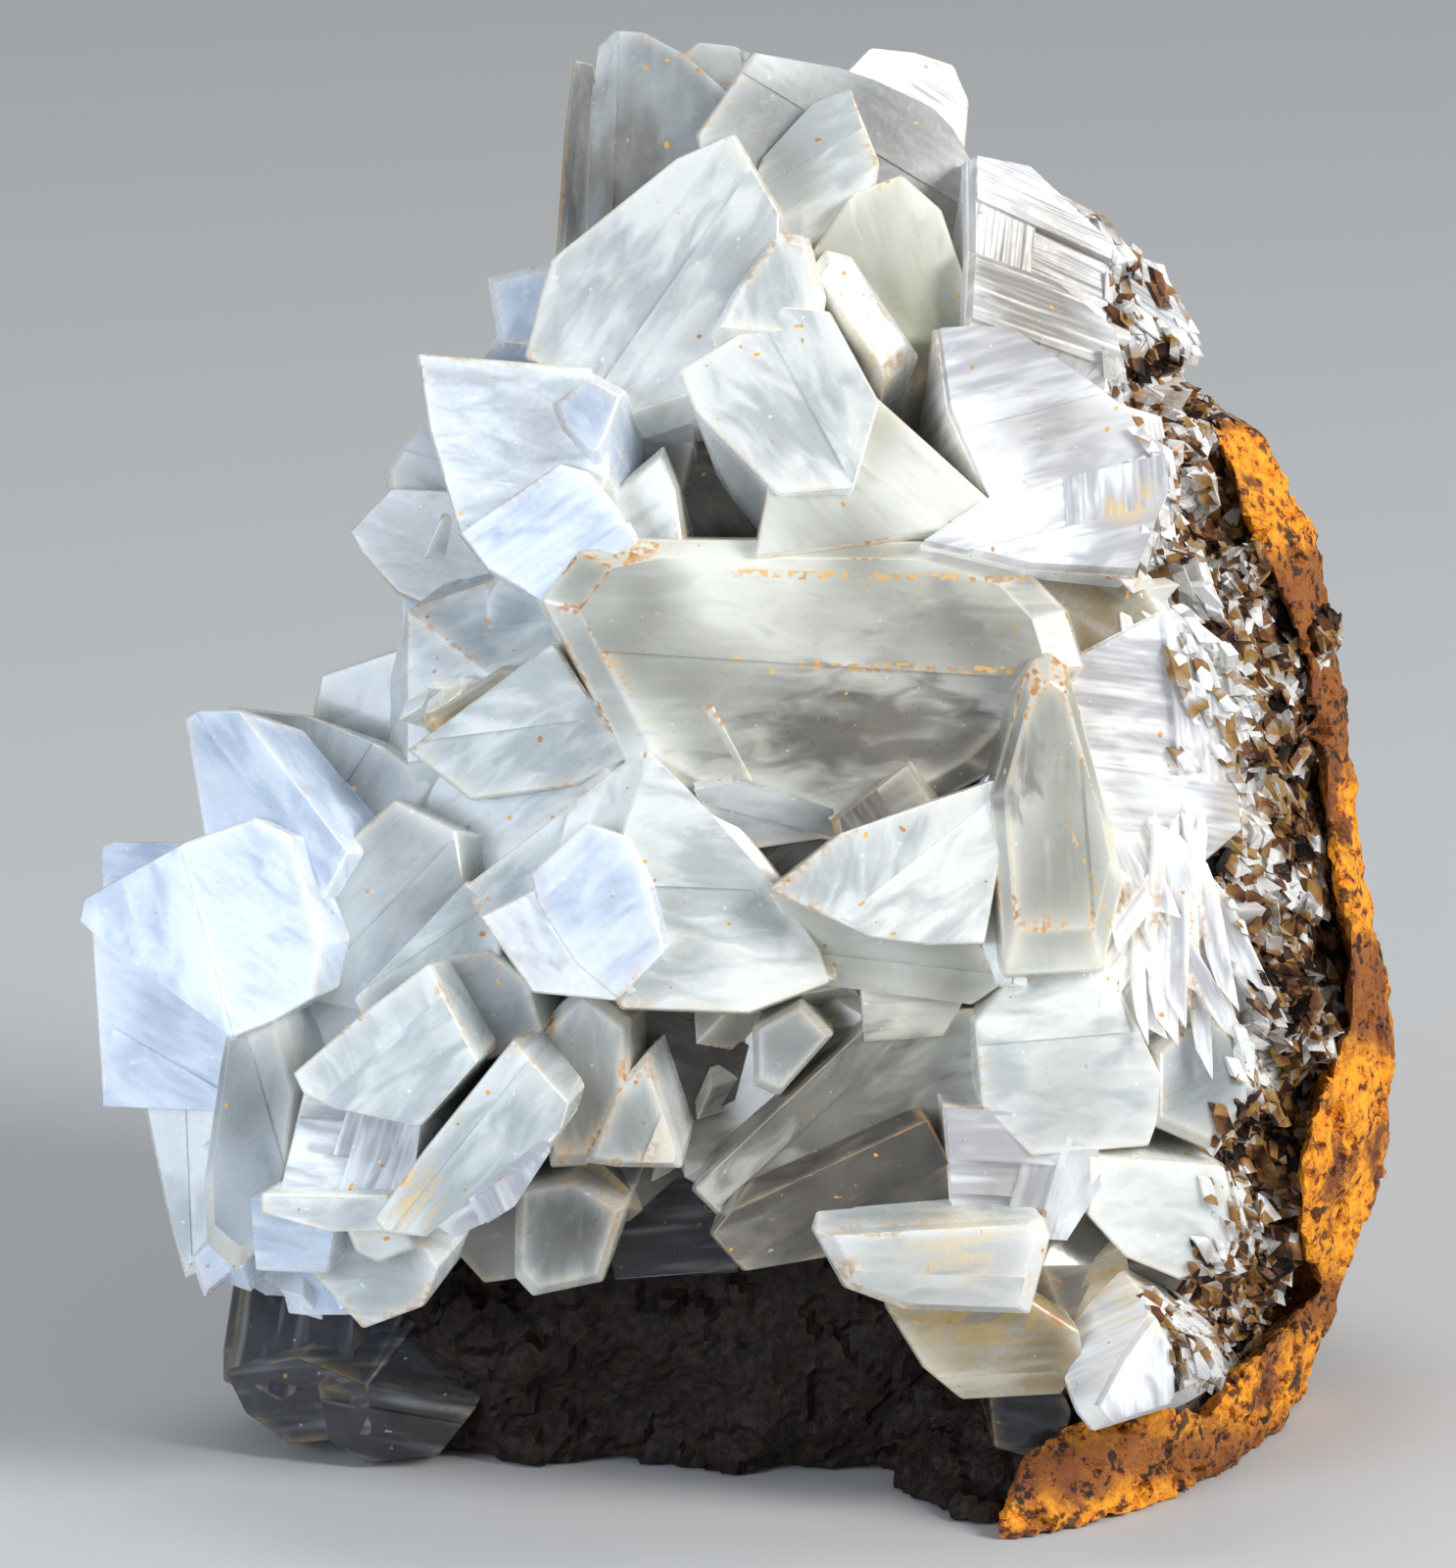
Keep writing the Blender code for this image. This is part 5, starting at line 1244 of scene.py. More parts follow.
    def lay_maps(
        self, work: bmesh.types.BMesh, name: str, axis: Vector, outer: set[bmesh.types.BMVert],
        plain: set[bmesh.types.BMFace],
    ) -> None:
        """Gives a body its two UV maps: its growth lines, and how near its edges it is, for the painted edge
        highlight, and how deep in tone it is.

        Args:
            work: The body.
            name: Its name, which picks its tone and its place on the growth map.
            axis: The way its growth lines run.
            outer: The points that count as its edges.
            plain: The faces without a border.
        """
        growth = work.loops.layers.uv.new("growth")
        zone = work.loops.layers.uv.new("zone")
        along = axis.normalized()
        cross = along.cross(Vector((0.2, 0.3, 1))).normalized()
        offset = (hash_of(name) % self.MAP_PLACES) * self.MAP_STEP
        tone = (hash_of(name) * self.TONE_STEP) % 1.0
        for face in work.faces:
            for loop in face.loops:
                place = loop.vert.co
                loop[growth].uv = (place.dot(along) / 10 + offset, place.dot(cross) / 10)
                loop[zone].uv = (0.0 if loop.vert in outer and face not in plain else 1.0, tone)

    def crystal(self, crystal: Crystal, group: bpy.types.Collection, draw: random.Random) -> None:
        """Makes one crystal and the thin growth plates on its end face.

        Args:
            crystal: The crystal.
            group: The collection that it joins.
            draw: The source of chance.
        """
        centre = self.middle(crystal)
        root_middle = centre.lerp(HEART.xy, self.root_pull)
        points = self.ring(crystal, 1.0, 0.0) + self.ring(crystal, self.rim_size, -crystal.thick)
        if crystal.cap < 1.0:
            points += self.ring(crystal, crystal.cap, self.rise)
        for point in crystal.outline[::2]:
            spot = root_middle + (Vector(point) - centre) * self.root_size
            points.append(Vector((spot.x, spot.y, min(self.root_depth, crystal.out - self.least_length))))
        corners = self.ring(crystal, 1.0, 0.0)
        edges = sorted(((b - a) for a, b in zip(corners, corners[1:])), key=lambda edge: -edge.length)
        self.hull(crystal.name, crystal.kind, points, edges[0], group, self.bevel)
        if edges[0].length >= self.terrace_reach:
            self.terraces_of(crystal, edges, group, draw)

    def terraces_of(
        self, crystal: Crystal, edges: Sequence[Vector], group: bpy.types.Collection, draw: random.Random
    ) -> None:
        """Lays growth plates or, on white calcite, cleavage steps on a crystal's end face.

        Args:
            crystal: The crystal.
            edges: The edges of its outline, longest first.
            group: The collection that they join.
            draw: The source of chance.
        """
        cleaved = crystal.kind is Kind.WHITE
        reach = edges[0].length
        face = self.ring(
            crystal, min(crystal.cap, self.terrace_size), self.rise if crystal.cap < 1.0 else 0.0
        )
        flat = sum(face, Vector((0, 0, 0))) / len(face)
        up = Vector((crystal.turn[0], crystal.turn[1], 1.0)).normalized()
        for index in range(self.cleavage_steps if cleaved else self.terraces):
            edge = edges[min(draw.randrange(2), len(edges) - 1)].normalized()
            if cleaved:
                turn = Matrix.Rotation(math.radians(draw.choice(self.cleavage_angles)), 3, up)
                edge = turn @ edges[0].normalized()
            away = edge.cross(up) * draw.choice((-1, 1))
            start = flat + away * reach * (draw.uniform(-0.25, 0.3) if cleaved else draw.uniform(-0.2, 0.25))
            kept = clipped(face, start, away)
            if len(kept) < 3:
                continue
            rise = self.terrace_rise * draw.uniform(0.5, 1.0)
            if cleaved:
                rise = self.cleavage_rise * (index + draw.uniform(0.3, 1.0))
            terrace = [corner + up * level for level in (rise, -self.terrace_foot) for corner in kept]
            self.hull(f"{crystal.name}_terrace_{index}", crystal.kind, terrace, edge, group, 0.0, False)

    def lump(self, lump: Lump, name: str, group: bpy.types.Collection) -> None:
        """Makes one lump with twenty flat faces.

        Args:
            lump: The lump.
            name: Its name.
            group: The collection that it joins.
        """
        work = bmesh.new()
        bmesh.ops.create_icosphere(work, subdivisions=1, radius=1.0)
        place = Matrix.Translation(lump.middle) @ Matrix.Diagonal((*lump.radii, 1))
        points = [place @ vertex.co for vertex in work.verts]
        work.free()
        self.hull(name, lump.kind, points, Vector((1, 0.4, 0.2)), group, 0.0)

    @staticmethod
    def on_lump(lump: Lump, way: Vector, sink: float) -> Vector:
        """The place on or in a lump that lies a given way from its middle."""
        return Vector(lump.middle) + Vector([part * radius for part, radius in zip(way, lump.radii)]) * sink

    def rhomb(
        self, name: str, kind: Kind, spot: Vector, turn: Quaternion, sizes: Colour,
        group: bpy.types.Collection | None,
    ) -> list[Vector]:
        """Makes one cleavage rhomb.

        Args:
            name: Its name.
            kind: Its kind.
            spot: Its middle.
            turn: Its turn.
            sizes: Its three lengths.
            group: The collection that it joins, or None to only place its corners.

        Returns:
            Its corners.
        """
        turned = Matrix.Translation(spot) @ turn.to_matrix().to_4x4()
        place = turned @ Matrix.Diagonal((*sizes, 1)) @ CLEAVAGE
        signs = (-0.5, 0.5)
        corners = [place @ Vector((x, y, z)) for x in signs for y in signs for z in signs]
        if group:
            self.hull(name, kind, corners, corners[4] - corners[0], group, self.bevel * 0.7)
        return corners

    def side_rhombs(self, group: bpy.types.Collection) -> None:
        """Covers the left wing, the shoulder and the crest where no named crystal reaches.

        Args:
            group: The collection that the rhombs join.
        """
        draw = random.Random(self.side_seed)
        hosts = (LUMPS[0], LUMPS[2], LUMPS[3], LUMPS[4], LUMPS[0])
        made = 0
        while made < self.side_crystals:
            lump = hosts[made % len(hosts)]
            way = Vector((draw.uniform(-1, 0.15), draw.uniform(-0.7, 1), draw.uniform(-1, 0.1))).normalized()
            spot = self.on_lump(lump, way, self.side_sink)
            size = draw.uniform(*self.side_size)
            turn = way.to_track_quat("X", "Z")
            turn.rotate(Matrix.Rotation(draw.uniform(-0.8, 0.8), 3, way).to_euler())
            sizes = (size, size * 0.8, size * self.side_flatness)
            corners = self.rhomb("", Kind.GREY, spot, turn, sizes, None)
            if all(inside(OUTLINE, corner.x, corner.y) for corner in corners):
                kind = (Kind.PALE, Kind.BLUE, Kind.GREY)[made % 3]
                self.rhomb(f"side_{made}", kind, spot, turn, sizes, group)
                made += 1

    def filler_rhombs(self, group: bpy.types.Collection) -> None:
        """Fills the gaps between the crystals of the face with small rhombs that stand further back.

        Args:
            group: The collection that the rhombs join.
        """
        draw = random.Random(self.filler_seed)
        for index in range(self.fillers):
            lump = LUMPS[index % FILLED_LUMPS]
            way = Vector((draw.uniform(-0.9, 0.9), draw.uniform(-1, 1), draw.uniform(0.1, 1))).normalized()
            spot = self.on_lump(lump, way, self.filler_sink)
            size = draw.uniform(*self.filler_size)
            turn = way.to_track_quat("X", "Z")
            turn.rotate(Matrix.Rotation(draw.uniform(-1.2, 1.2), 3, way).to_euler())
            sizes = (size, size * draw.uniform(0.5, 1.0), size * draw.uniform(0.3, 0.7))
            self.rhomb(f"filler_{index}", lump.kind, spot, turn, sizes, group)

    def spray(self, group: bpy.types.Collection) -> None:
        """Fans white needles of cleaved calcite out of the middle of the right side.

        Args:
            group: The collection that the needles join.
        """
        draw = random.Random(self.spray_seed)
        for index in range(self.needles):
            angle = math.radians(draw.uniform(*self.spray_arc))
            way = Vector((math.cos(angle), math.sin(angle), draw.uniform(-0.15, 0.25))).normalized()
            long = draw.uniform(*self.needle_size)
            start = Vector((*self.spray_middle, 0)) + Vector((draw.uniform(-4, 4), draw.uniform(-5, 4), 0))
            spot = start + way * long * 0.5 + Vector((0, 0, draw.uniform(1.0, 3.2)))
            sizes = (long, draw.uniform(0.8, 2.4), draw.uniform(0.4, 0.9))
            self.rhomb(f"needle_{index}", Kind.WHITE, spot, way.to_track_quat("X", "Z"), sizes, group)

    def splinters(self, group: bpy.types.Collection) -> None:
        """Breaks up the right edges of the white calcite.

        Args:
            group: The collection that the splinters join.
        """
        draw = random.Random(self.splinter_seed)
        for crystal in CLEAVED:
            rim = sorted(self.ring(crystal, 0.9, -1.5), key=lambda spot: -spot.x)
            for index, spot in enumerate(rim[:self.splinters_each]):
                turn = GRAINS[index % len(GRAINS)].to_track_quat("Z", "Y")
                turn.rotate(Matrix.Rotation(draw.uniform(-0.6, 0.6), 3, "Z").to_euler())
                long = draw.uniform(*self.splinter_size)
                sizes = (long, long * draw.uniform(0.4, 0.8), long * draw.uniform(0.3, 0.7))
                self.rhomb(f"{crystal.name}_splinter_{index}", Kind.WHITE, spot, turn, sizes, group)

    def build(self) -> bpy.types.Object:
        """Grows the whole group together.

        Returns:
            The finished piece.
        """
        self.materials = {finish.kind: finish.material() for finish in FINISHES}
        group = bpy.data.collections.new("growth")
        bpy.context.scene.collection.children.link(group)
        draw = random.Random(self.plate_seed)
        for crystal in CREST + SHOULDER + LEFT_WING + MIDDLE + LOWER + CLEAVED:
            self.crystal(crystal, group, draw)
        for index, lump in enumerate(LUMPS):
            self.lump(lump, f"lump_{index}", group)
        self.side_rhombs(group)
        self.splinters(group)
        self.filler_rhombs(group)
        self.spray(group)
        host = group.objects["lump_0"]
        group.objects.unlink(host)
        bpy.context.scene.collection.objects.link(host)
        joined = host.modifiers.new("grown_together", "BOOLEAN")
        joined.operation = "UNION"
        joined.solver = "MANIFOLD"
        joined.operand_type = "COLLECTION"
        joined.collection = group
        work = bmesh.new()
        work.from_mesh(baked(host))
        floor = standing().inverted() @ Vector((0, 0, 0))
        normal = (standing().inverted().to_3x3() @ Vector((0, 0, 1))).normalized()
        everything = [*work.verts, *work.edges, *work.faces]
        cut = bmesh.ops.bisect_plane(
            work, geom=everything, plane_co=floor, plane_no=-normal, clear_outer=True
        )
        rim = [item for item in cut["geom_cut"] if isinstance(item, bmesh.types.BMEdge)]
        bmesh.ops.holes_fill(work, edges=rim)
        bmesh.ops.remove_doubles(work, verts=work.verts, dist=WELD)
        work.transform(standing())
        piece = from_work(self.name, work, bpy.context.scene.collection)
        for kind in Kind:
            piece.data.materials.append(self.materials[kind])
        for old in [host, *group.objects]:
            bpy.data.objects.remove(old)
        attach(piece, "root")
        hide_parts("calcite_crystals")
        return piece


@dataclass(frozen=True)
class RockFinish:
    """The dark vein rock: near black below and on the left, its own dark colour with painted shade, and
    brown, gold, grey and white where it shows on the right.
    """

    name: str = "vein_rock"
    grain_size: float = 1.2
    glitter: float = 0.0
    # The two darkest colours make the near-black ground: the rock's own dark colour with painted shade.
    black_rock_and_shade: Colour = (0.006, 0.005, 0.005)
    deep: Colour = (0.024, 0.013, 0.009)
    brown: Colour = (0.15, 0.058, 0.026)
    gold: Colour = (0.36, 0.205, 0.06)
    grey: Colour = (0.40, 0.38, 0.37)
    white: Colour = (0.80, 0.80, 0.79)

    # Sizes in millimetres, and where it turns from the near-black rock with painted shade to bare flakes,
    # across and up.
    BROAD_SIZE = 6.0
    FINE_SIZE = 0.9
    SHOWN_ACROSS = (18.0, 34.0)
    SHOWN_UP = (6.0, 18.0)
    PALER_ACROSS = (50.0, 36.0)
    RELIEF = 0.0006

    def material(self) -> bpy.types.Material:
        """Builds the material.

        Returns:
            The material.
        """
        paint = Paint(self.name)
        place = paint.layout()
        across, up, _ = paint.parts_of(place)
        broad = paint.noise(place, self.BROAD_SIZE, 3.0, 0.6)
        fine = paint.noise(place, self.FINE_SIZE, 3.0, 0.65)
        cells = {"Vector": place, "Scale": 1 / self.grain_size}
        pick, gloss, tilt = paint.parts_of(paint.node("ShaderNodeTexVoronoi", {}, cells, "Color"))
        # The flakes show only on the lit right. Elsewhere the rock is near black, partly painted shade.
        shown = across.step(*self.SHOWN_ACROSS) * up.step(*self.SHOWN_UP)
        choice = pick * 0.8 + (broad - 0.5) * 2.2 + self.glitter + across.step(*self.PALER_ACROSS) * 0.16
        flakes = paint.node("ShaderNodeValToRGB", {"stops": (
            (0.0, self.black_rock_and_shade), (0.18, self.deep), (0.38, self.brown), (0.6, self.gold), (0.76, self.grey),
            (0.96, self.white),
        )}, {0: choice})
        # The near-black ground: the rock's own dark colour, partly painted shade of the underside.
        ground = paint.mix(fine.step(0.35, 0.65), self.black_rock_and_shade, self.deep)
        colour = paint.mix(shown * 0.9, ground, flakes)
        rough = 0.7 - gloss * 0.45 * shown - fine * 0.15
        normal = paint.bump(fine * 0.5 + tilt * 0.5, self.RELIEF, 0.8)
        surface = paint.node("ShaderNodeBsdfPrincipled", {}, {
            "Base Color": colour, "Roughness": rough, "Normal": normal, "Specular IOR Level": 0.2,
        })
        return paint.finish(surface)


@dataclass(frozen=True)
class CrustFinish:
    """The limonite crust: bright orange, browner on the back, with dark pits."""

    orange: Colour = (0.74, 0.20, 0.008)
    amber: Colour = (0.92, 0.40, 0.015)
    brown: Colour = (0.20, 0.055, 0.014)
    pit: Colour = (0.018, 0.008, 0.005)

    # Sizes in millimetres. Then where its front and its far back lie, out, and where its front is bright, up.
    BROAD_SIZE = 7.0
    FINE_SIZE = 1.1
    GRAIN_SIZE = 0.3
    BLOTCH_SIZE = 16.0
    PIT_SIZE = 3.0
    RELIEF = 0.0008
    FRONT = (-42.0, -33.0)
    FAR_BACK = (-40.0, -58.0)
    BRIGHT = ((-3.0, 3.0), (8.0, 15.0), (20.0, 38.0), (48.0, 62.0), (80.0, 91.0))

    @staticmethod
    def bright_reach(up: Wire, reaches: Sequence[Spot]) -> Wire:
        """Where the crust is bright.

        Args:
            up: The height on the face.
            reaches: The lowest and highest points of its bright reaches.

        Returns:
            1 on a bright reach and 0 off it.
        """
        found = up * 0
        for low, high in reaches:
            found = found.most(up.step(low - 1.5, low + 1.5) * up.step(high + 1.5, high - 1.5))
        return found

    def material(self) -> bpy.types.Material:
        """Builds the material.

        Returns:
            The material.
        """
        paint = Paint("limonite_crust")
        place = paint.layout()
        _, up, out = paint.parts_of(place)
        broad = paint.noise(place, self.BROAD_SIZE, 4.0, 0.6, 0.4)
        fine = paint.noise(place, self.FINE_SIZE, 4.0, 0.65)
        grain = paint.noise(place, self.GRAIN_SIZE, 2.0, 0.6)
        colour = paint.mix(fine.step(0.35, 0.65), self.orange, self.amber)
        colour = paint.mix(broad.step(0.48, 0.64), colour, self.brown)
        blotches = paint.noise(place, self.BLOTCH_SIZE, 2.0, 0.6).step(0.46, 0.58)
        front = out.step(*self.FRONT)
        bright = self.bright_reach(up + (broad - 0.5) * 9.0, self.BRIGHT) * front + blotches * (1 - front)
        colour = paint.mix((1 - bright) * 0.85, colour, self.brown)
        colour = paint.mix(out.step(*self.FAR_BACK) * 0.55, colour, self.brown)
        holes = paint.noise(place, self.PIT_SIZE, 3.0, 0.65).step(0.44, 0.37)
        pits = fine.step(0.45, 0.36).most(holes)
        pits = pits * (1.2 - bright * 0.35)
        colour = paint.mix(pits.least(0.95), colour, self.pit)
        colour = paint.mix(grain.step(0.62, 0.75) * 0.35, colour, self.amber)
        normal = paint.bump(fine * 0.7 + grain * 0.3, self.RELIEF, 0.9)
        surface = paint.node("ShaderNodeBsdfPrincipled", {}, {
            "Base Color": colour, "Roughness": 0.95 - fine * 0.25, "Normal": normal,
        })
        return paint.finish(surface)


class GeometryBench(Bench):
    """A geometry tree under construction."""

    def __init__(self, name: str, numbers: Sequence[str], counts: Sequence[str] = ()) -> None:
        """Starts a tree that works on a geometry and has named inputs.

        Args:
            name: The tree's name.
            numbers: The names of its inputs that hold any number.
            counts: The names of its inputs that hold a whole number.
        """
        super().__init__(bpy.data.node_groups.new(name, "GeometryNodeTree"))
        kinds = {"Geometry": "Geometry", **dict.fromkeys(numbers, "Float"), **dict.fromkeys(counts, "Int")}
        for label, kind in kinds.items():
            self.tree.interface.new_socket(label, in_out="INPUT", socket_type=f"NodeSocket{kind}")
        self.tree.interface.new_socket("Geometry", in_out="OUTPUT", socket_type="NodeSocketGeometry")
        start = self.tree.nodes.new("NodeGroupInput")
        self.given = {socket.name: Wire(self, socket) for socket in start.outputs if socket.name}

    def finish(self, shape: Wire, material: bpy.types.Material) -> bpy.types.NodeTree:
        """Makes the shape real, dresses it and links it to the tree's output.

        Args:
            shape: The shape.
            material: Its material.

        Returns:
            The tree.
        """
        real = self.node("GeometryNodeRealizeInstances", {}, {"Geometry": shape})
        dressed = self.node("GeometryNodeSetMaterial", {}, {"Geometry": real, "Material": material})
        self.node("NodeGroupOutput", {}, {0: dressed})
        return self.tree


@dataclass
class WeatheredRock:
    """A rock from a CAD node, with its surface broken up in geometry. Lengths are in metres."""

    node: str
    name: str
    slot: str
    grain: float = 0.0007
    lump_size: float = 0.006
    lump_height: float = 0.0011
    chip_size: float = 0.0028
    chip_height: float = 0.0013
    pit_depth: float = 0.0

    def inputs(self) -> dict[str, float]:
        """The values of the tree's inputs, by their names."""
        return {
            "Lump Size": self.lump_size, "Lump Height": self.lump_height, "Chip Height": self.chip_height,
            "Pit Depth": self.pit_depth,
        }

    def tree(self, material: bpy.types.Material) -> bpy.types.NodeTree:
        """Builds the geometry tree that breaks up the surface.

        Args:
            material: The rock's material.

        Returns:
            The tree.
        """
        bench = GeometryBench(f"{self.name}_relief", tuple(self.inputs()))
        given = bench.given
        place = bench.node("GeometryNodeInputPosition")
        lumps = bench.node("ShaderNodeTexNoise", {}, {
            "Vector": place, "Scale": 1 / given["Lump Size"], "Detail": 3.0,
        })
        cells = {"Vector": place, "Scale": 1 / self.chip_size}
        ledges = bench.node("ShaderNodeTexVoronoi", {}, cells, "Color")
        chips = bench.node("ShaderNodeSeparateXYZ", {}, {0: ledges})
        pits = bench.node("ShaderNodeTexNoise", {}, {
            "Vector": place, "Scale": 1 / (self.chip_size * 1.6), "Detail": 3.0,
        })
        height = (lumps - 0.5) * given["Lump Height"] * 2 + (chips - 0.45) * given["Chip Height"]
        height = height - pits.step(0.42, 0.3) * given["Pit Depth"]
        normal = bench.node("GeometryNodeInputNormal")
        push = bench.node("ShaderNodeVectorMath", {"operation": "SCALE"}, {0: normal, "Scale": height})
        moved = {"Geometry": given["Geometry"], "Offset": push}
        return bench.finish(bench.node("GeometryNodeSetPosition", {}, moved), material)

    def build(self, material: bpy.types.Material) -> bpy.types.Object:
        """Makes the rock.

        Args:
            material: Its material.

        Returns:
            The finished piece.
        """
        host = merged_copy(self.node, f"{self.name}_host")
        remesh = host.modifiers.new("even_grain", "REMESH")
        remesh.mode = "VOXEL"
        remesh.voxel_size = self.grain * 1
        relief = host.modifiers.new("relief", "NODES")
        relief.node_group = self.tree(material)
        set_inputs(relief, self.inputs())
        mesh = baked(host)
        bpy.data.objects.remove(host)
        mesh.name = self.name
        mesh.materials.clear()
        mesh.materials.append(material)
        for vertex in mesh.vertices:
            vertex.co.z = max(vertex.co.z, 0.0)
        piece = bpy.data.objects.new(self.name, mesh)
        bpy.context.scene.collection.objects.link(piece)
        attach(piece, "root")
        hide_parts(self.node)
        return piece


@dataclass
class Scatter:
    """Small broken bits of one material, strewn over part of a piece.

    Density is their number to a square metre, and size their least and largest length in millimetres. Sizes
    are the shares of a bit's length, width and height. Grain is the way that bits point, and swing how far
    they may be turned from it.
    """

    name: str
    slot: str
    density: float
    size: Spot
    sizes: Colour
    seed: int
    grain: Colour
    swing: float

    SIZE_SEED = 7

    def bit(self) -> bpy.types.Object:
        """One cleaved bit, a metre long, for the tree to repeat.

        Returns:
            The bit.
        """
        work = bmesh.new()
        bmesh.ops.create_cube(work, size=1.0)
        bmesh.ops.transform(work, matrix=Matrix.Diagonal((*self.sizes, 1)) @ CLEAVAGE, verts=work.verts)
        return from_work(f"{self.name}_bit", work, bpy.context.scene.collection)

    def tree(self, material: bpy.types.Material, bit: bpy.types.Object) -> bpy.types.NodeTree:
        """Builds the geometry tree that strews the bits.

        Args:
            material: The bits' material.
            bit: The bit that is repeated.

        Returns:
            The tree.
        """
        bench = GeometryBench(f"{self.name}_strewn", ("Density", "Smallest", "Largest"), ("Seed",))
        given = bench.given
        points = bench.node("GeometryNodeDistributePointsOnFaces", {}, {
            "Mesh": given["Geometry"], "Density": given["Density"], "Seed": given["Seed"],
        })
        turn = bench.node("FunctionNodeRandomValue", {"data_type": "FLOAT_VECTOR"}, {
            0: (-self.swing,) * 3, 1: (self.swing,) * 3, "Seed": given["Seed"],
        })
        flat = Wire(bench, points.socket.node.outputs["Rotation"])
        flat = bench.node("FunctionNodeAlignRotationToVector", {"axis": "X", "pivot_axis": "Z"}, {
            "Rotation": flat, "Vector": self.grain,
        })
        turn = bench.node("FunctionNodeRotateRotation", {"rotation_space": "LOCAL"}, {
            "Rotation": flat, "Rotate By": turn,
        })
        size = bench.node("FunctionNodeRandomValue", {"data_type": "FLOAT"}, {
            2: given["Smallest"], 3: given["Largest"], "Seed": self.SIZE_SEED,
        }, 1)
        shape = bench.node("GeometryNodeObjectInfo", {}, {"Object": bit}, "Geometry")
        placed = {"Points": points, "Instance": shape, "Rotation": turn, "Scale": size}
        return bench.finish(bench.node("GeometryNodeInstanceOnPoints", {}, placed), material)

    def build(
        self, ground: bpy.types.Object, chosen: Callable[[bpy.types.MeshPolygon], bool],
        material: bpy.types.Material,
    ) -> bpy.types.Object:
        """Strews the bits.

        Args:
            ground: The piece that they lie on.
            chosen: Says of a face of the ground whether bits lie on it.
            material: The bits' material.

        Returns:
            The finished piece.
        """
        work = bmesh.new()
        work.from_mesh(ground.data)
        work.faces.ensure_lookup_table()
        left_out = [work.faces[face.index] for face in ground.data.polygons if not chosen(face)]
        bmesh.ops.delete(work, geom=left_out, context="FACES")
        mesh = bpy.data.meshes.new(f"{self.name}_ground")
        work.to_mesh(mesh)
        work.free()
        host = bpy.data.objects.new(f"{self.name}_host", mesh)
        bpy.context.scene.collection.objects.link(host)
        bit = self.bit()
        strewn = host.modifiers.new("strewn", "NODES")
        strewn.node_group = self.tree(material, bit)
        smallest, largest = self.size
        set_inputs(strewn, {
            "Density": self.density, "Smallest": smallest * MM, "Largest": largest * MM, "Seed": self.seed,
        })
        result = baked(host)
        result.name = self.name
        for old in (host, bit):
            bpy.data.objects.remove(old)
        piece = bpy.data.objects.new(self.name, result)
        bpy.context.scene.collection.objects.link(piece)
        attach(piece, "root")
        return piece


@dataclass
class Studio:
    """The floor, the lights and the camera. Target is the place on the layout that the camera looks at.

    Other lengths are in metres. Lit is the place that every light faces.
    """

    distance: float = 1.2
    frame_height: float = 0.128
    target: Colour = (-0.56, 61.0, -8.0)
    lit: Colour = (0, 0, 0.055)
    floor_size: float = 6.0
    floor_colour: Colour = (0.52, 0.53, 0.54)
    sky_colour: Colour = (0.92, 0.96, 1.0)
    sky_strength: float = 0.34

    def floor(self) -> None:
        """Lays a plain pale floor."""
        bpy.ops.mesh.primitive_plane_add(size=self.floor_size, location=(0, 0, -0.0002))
        floor = bpy.context.object
        floor.name = "floor"
        paint = Paint("floor")
        look = {"Base Color": self.floor_colour, "Roughness": 0.9}
        floor.data.materials.append(paint.finish(paint.node("ShaderNodeBsdfPrincipled", {}, look)))

    def light(self, name: str, spot: Colour, size: float, power: float, colour: Colour) -> None:
        """Hangs a soft light that faces the specimen.

        Args:
            name: Its name.
            spot: Where it hangs, in metres.
            size: Its width, in metres.
            power: Its power, in watts.
            colour: Its colour.
        """
        lamp = bpy.data.lights.new(name, "AREA")
        lamp.size = size
        lamp.energy = power
        lamp.color = colour
        hung = bpy.data.objects.new(name, lamp)
        hung.location = spot
        hung.rotation_euler = (Vector(self.lit) - Vector(spot)).to_track_quat("-Z", "Y").to_euler()
        bpy.context.scene.collection.objects.link(hung)

    def build(self) -> None:
        """Sets up the whole studio."""
        self.floor()
        self.light("key", (0.74, -0.46, 0.55), 0.35, 10.2, (1.0, 0.985, 0.96))
        self.light("cool_side", (-0.62, -0.68, 0.24), 0.4, 5.0, (0.82, 0.88, 1.0))
        self.light("top", (-0.05, 0.2, 0.85), 0.35, 1.6, (0.97, 0.99, 1.0))
        world = bpy.data.worlds.new("room")
        world.use_nodes = True
        sky = world.node_tree.nodes["Background"].inputs
        sky["Color"].default_value = (*self.sky_colour, 1.0)
        sky["Strength"].default_value = self.sky_strength
        bpy.context.scene.world = world
        bpy.context.scene.view_settings.view_transform = "Standard"
        camera = bpy.data.cameras.new("camera")
        camera.sensor_fit = "VERTICAL"
        camera.sensor_height = 36.0
        camera.lens = camera.sensor_height * self.distance / self.frame_height
        camera.clip_end = 20.0
        held = bpy.data.objects.new("camera", camera)
        aim = standing() @ Vector(self.target)
        lean = math.radians(FACE_LEAN)
        towards = Vector((0, -math.cos(lean), math.sin(lean)))
        held.location = aim + towards * self.distance
        held.rotation_euler = (-towards).to_track_quat("-Z", "Y").to_euler()
        bpy.context.scene.collection.objects.link(held)
        bpy.context.scene.camera = held


